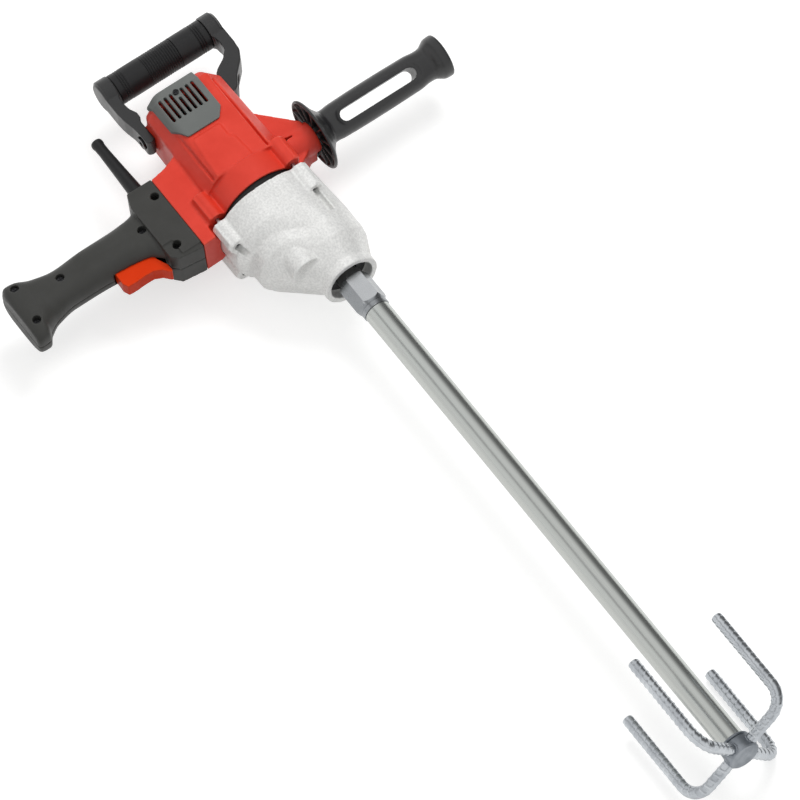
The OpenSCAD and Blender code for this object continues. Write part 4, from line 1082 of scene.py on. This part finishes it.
    def bar(self, number: int) -> None:
        """Sweeps one ribbed bar along its path.

        The radius is the bar's own plus two straight ribs along it and slanted crescent ribs
        between them: each crescent is a cosine bump that fades towards the straight ribs, and
        the two rows are half a pitch apart.

        Args:
            number: 1 to 4.
        """
        node = f"paddle_arm_{number}"
        bar_x = self.bar_x(node)
        length = self.reach_mm - self.bend_mm - self.start_mm + self.bend_mm * math.pi / 2 + (
            bar_x - self.bend_mm - self.drill.box(node)[0][0])
        rings, count = int(length / 0.55), 40
        s = np.linspace(0, length, rings)
        t = around(count)
        grid_s, grid_t = np.meshgrid(s, t, indexing="ij")
        half_turn = np.mod(grid_t, np.pi)
        row = np.floor(grid_t / np.pi)
        phase = (grid_s + row * self.rib_pitch_mm / 2 + half_turn * 1.6) / self.rib_pitch_mm
        bump = np.clip(np.cos(2 * np.pi * phase) * 1.9 - 0.75, 0, 1)
        crescent = bump * np.sin(half_turn) ** 0.6
        keel = np.clip(1 - np.abs(half_turn - np.pi * np.round(half_turn / np.pi)) / 0.22, 0, 1)
        plain = np.clip((grid_s - 8.0) / 2.0, 0, 1) * np.clip((length - grid_s - 1.5) / 1.5, 0, 1)
        end = np.clip((grid_s - length + 0.6) / 0.6, 0, 1)
        relief = plain * np.maximum(crescent, 0.8 * keel)
        r = self.bar_mm / 2 + self.rib_mm * relief - 0.6 * end ** 2
        x, y, angle = self.path(s, bar_x)
        out = np.stack([np.cos(angle), np.sin(angle)], 1)
        across, up = r * np.cos(grid_t), r * np.sin(grid_t)
        points = np.stack([x[:, None] + across * out[:, :1], y[:, None] + across * out[:, 1:], up],
                          -1)
        piece = skin(f"ribbed_bar_{number}", points * MM, smooth_deg=SWEPT_DEG)
        piece.data.transform(self.spin(number - 1))
        self.drill.fit(piece, "spindle", "rebar_steel", node)

    def build(self) -> None:
        """Makes the pieces."""
        self.adaptor()
        self.rod()
        self.hub()
        for number in range(1, 5):
            self.bar(number)


@dataclass
class Studio:
    """Camera, floor and soft lights.

    The view is almost without perspective: a long lens, far away.

    Attributes:
        px_per_mm: scale of the view at the nose.
        image_px: the picture's width and height.
        nose_px: pixel that the nose's centre falls on.
        right: direction of the picture's right in the drill's frame.
        up: direction of its top.
        lens_mm: focal length.
        sensor_mm: width of the sensor.
        floor_m: half of the floor's width.
        floor_lift: brightness that the floor gains for the camera and in reflections.
        glow: brightness of the world as a light, low down and overhead.
        mirrored_side: brightness of its right side in reflections.
        line_y: Y of the thin dim line in reflections.
        line_glow: brightness of that line.
    """

    px_per_mm: float = 1.12
    image_px: float = 800.0
    nose_px: Pair = (352.0, 280.5)
    right: Point = (0.5672, 0.8202, -0.0750)
    up: Point = (-0.6898, 0.5225, 0.5010)
    lens_mm: float = 600.0
    sensor_mm: float = 36.0
    floor_m: float = 6.0
    floor_lift: float = 0.62
    glow: Pair = (0.2, 0.72)
    mirrored_side: float = 0.18
    line_y: float = -0.42
    line_glow: float = 0.35

    def camera(self) -> None:
        """Places the camera so that the nose's centre falls on its own pixel."""
        right = Vector(self.right).normalized()
        back = right.cross(Vector(self.up)).normalized()
        up = back.cross(right)
        half = self.image_px / 2
        aim = right * (half - self.nose_px[0]) + up * (self.nose_px[1] - half)
        aim *= MM / self.px_per_mm
        away = self.image_px * MM / self.px_per_mm * self.lens_mm / self.sensor_mm
        data = bpy.data.cameras.new("camera")
        data.lens, data.sensor_width, data.clip_end = self.lens_mm, self.sensor_mm, 100.0
        camera = linked("camera", data)
        turn = Matrix((right, up, back)).transposed()
        camera.matrix_world = Matrix.Translation(aim + back * away) @ turn.to_4x4()
        bpy.context.scene.camera = camera

    def lamp(self, name: str, place: Point, size: Pair, watts: float, aim: Point = (0.1, 0.0, 0.0)
            ) -> None:
        """Adds a rectangular soft box.

        Args:
            name: the lamp's name.
            place: its position in metres.
            size: its width and height in metres.
            watts: its power.
            aim: the point that it faces.
        """
        data = bpy.data.lights.new(name, "AREA")
        data.shape, data.size, data.size_y, data.energy = "RECTANGLE", size[0], size[1], watts
        lamp = linked(name, data)
        lamp.location = place
        lamp.visible_glossy = False
        lamp.rotation_mode = "QUATERNION"
        lamp.rotation_quaternion = (Vector(aim) - Vector(place)).to_track_quat("-Z", "Y")

    def floor(self, level: float) -> None:
        """Lays the pale floor at the object's lowest point, lifted to white for the camera."""
        corners = np.array([(x * self.floor_m, y * self.floor_m, level)
                            for x, y in ((-1, -1), (1, -1), (1, 1), (-1, 1))])
        ground = new_object("floor", corners, [(0, 1, 2, 3)])
        material = bpy.data.materials.new("pale_floor")
        tree = emptied_tree(material)
        path = add_node(tree, "ShaderNodeLightPath").outputs
        matt = add_node(tree, "ShaderNodeBsdfDiffuse", inputs={"Color": srgb("#C6C6C5")})
        seen = add_node(tree, "ShaderNodeMath", {"operation": "MAXIMUM"}, {
            0: path["Is Camera Ray"], 1: path["Is Glossy Ray"]}).outputs[0]
        seen = add_node(tree, "ShaderNodeMath", {"operation": "MULTIPLY"}, {
            0: seen, 1: self.floor_lift}).outputs[0]
        lift = add_node(tree, "ShaderNodeEmission", inputs={"Color": WHITE, "Strength": seen})
        both = add_node(tree, "ShaderNodeAddShader", inputs={
            0: matt.outputs[0], 1: lift.outputs[0]})
        add_node(tree, "ShaderNodeOutputMaterial", inputs={"Surface": both.outputs[0]})
        ground.data.materials.append(material)
        ground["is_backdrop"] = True

    def world(self) -> None:
        """Makes the world white for the camera and softer as a light.

        As a light it is dimmer towards the horizon. In reflections it is white but for a dim
        right side, where the direction's Y is high, and a thin dim line, so polished bars show
        long bands.
        """
        world = bpy.data.worlds.new("studio")
        bpy.context.scene.world = world
        tree = emptied_tree(world)
        path = add_node(tree, "ShaderNodeLightPath")
        place = add_node(tree, "ShaderNodeTexCoord").outputs["Generated"]
        axes = add_node(tree, "ShaderNodeSeparateXYZ", inputs={0: place}).outputs
        glow = add_node(tree, "ShaderNodeMapRange", inputs={
            "Value": axes["Z"], "From Min": 0.1, "From Max": 0.8,
            "To Min": self.glow[0], "To Max": self.glow[1]}).outputs["Result"]
        side = add_node(tree, "ShaderNodeMapRange", {"interpolation_type": "SMOOTHSTEP"}, {
            "Value": axes["Y"], "From Min": 0.2, "From Max": 0.8, "To Min": 1.0,
            "To Max": self.mirrored_side}).outputs["Result"]
        off_line = add_node(tree, "ShaderNodeMath", {"operation": "ADD"}, {
            0: axes["Y"], 1: -self.line_y}).outputs[0]
        off_line = add_node(tree, "ShaderNodeMath", {"operation": "ABSOLUTE"}, {
            0: off_line}).outputs[0]
        line = add_node(tree, "ShaderNodeMapRange", {"interpolation_type": "SMOOTHSTEP"}, {
            "Value": off_line, "From Min": 0.0, "From Max": 0.16, "To Min": self.line_glow,
            "To Max": 1.0}).outputs["Result"]
        shine = add_node(tree, "ShaderNodeMath", {"operation": "MULTIPLY"}, {
            0: side, 1: line}).outputs[0]
        lit = add_node(tree, "ShaderNodeBackground", inputs={"Color": WHITE, "Strength": glow})
        mirrored = add_node(tree, "ShaderNodeBackground", inputs={
            "Color": WHITE, "Strength": shine})
        seen = add_node(tree, "ShaderNodeBackground", inputs={"Color": WHITE, "Strength": 1.0})
        glossy = add_node(tree, "ShaderNodeMixShader", inputs={
            0: path.outputs["Is Glossy Ray"], 1: lit.outputs[0], 2: mirrored.outputs[0]})
        mixed = add_node(tree, "ShaderNodeMixShader", inputs={
            0: path.outputs["Is Camera Ray"], 1: glossy.outputs[0], 2: seen.outputs[0]})
        add_node(tree, "ShaderNodeOutputWorld", inputs={"Surface": mixed.outputs[0]})

    def build(self) -> None:
        """Makes camera, lamps and world."""
        self.camera()
        self.world()
        self.lamp("key", (-0.6, 0.9, 1.9), (1.3, 0.9), 25.0)
        self.lamp("fill", (1.2, -1.6, 1.4), (1.6, 1.2), 3.0)
        bpy.context.scene.view_settings.view_transform = "Standard"


def main() -> None:
    """Loads the frame, dresses it, and sets the studio."""
    logging.basicConfig(level=logging.INFO, format="%(message)s")
    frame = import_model()
    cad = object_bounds()
    drill = Drill(frame)
    studio = Studio()
    studio.build()
    drill.dress_nodes()
    for assembly in (MotorHousing(drill), GearCase(drill), DHandle(drill), SideHandle(drill),
                     PistolGrip(drill), RodAndPaddle(drill)):
        assembly.build()
    studio.floor(cad[0].z)


if __name__ == "__main__":
    main()
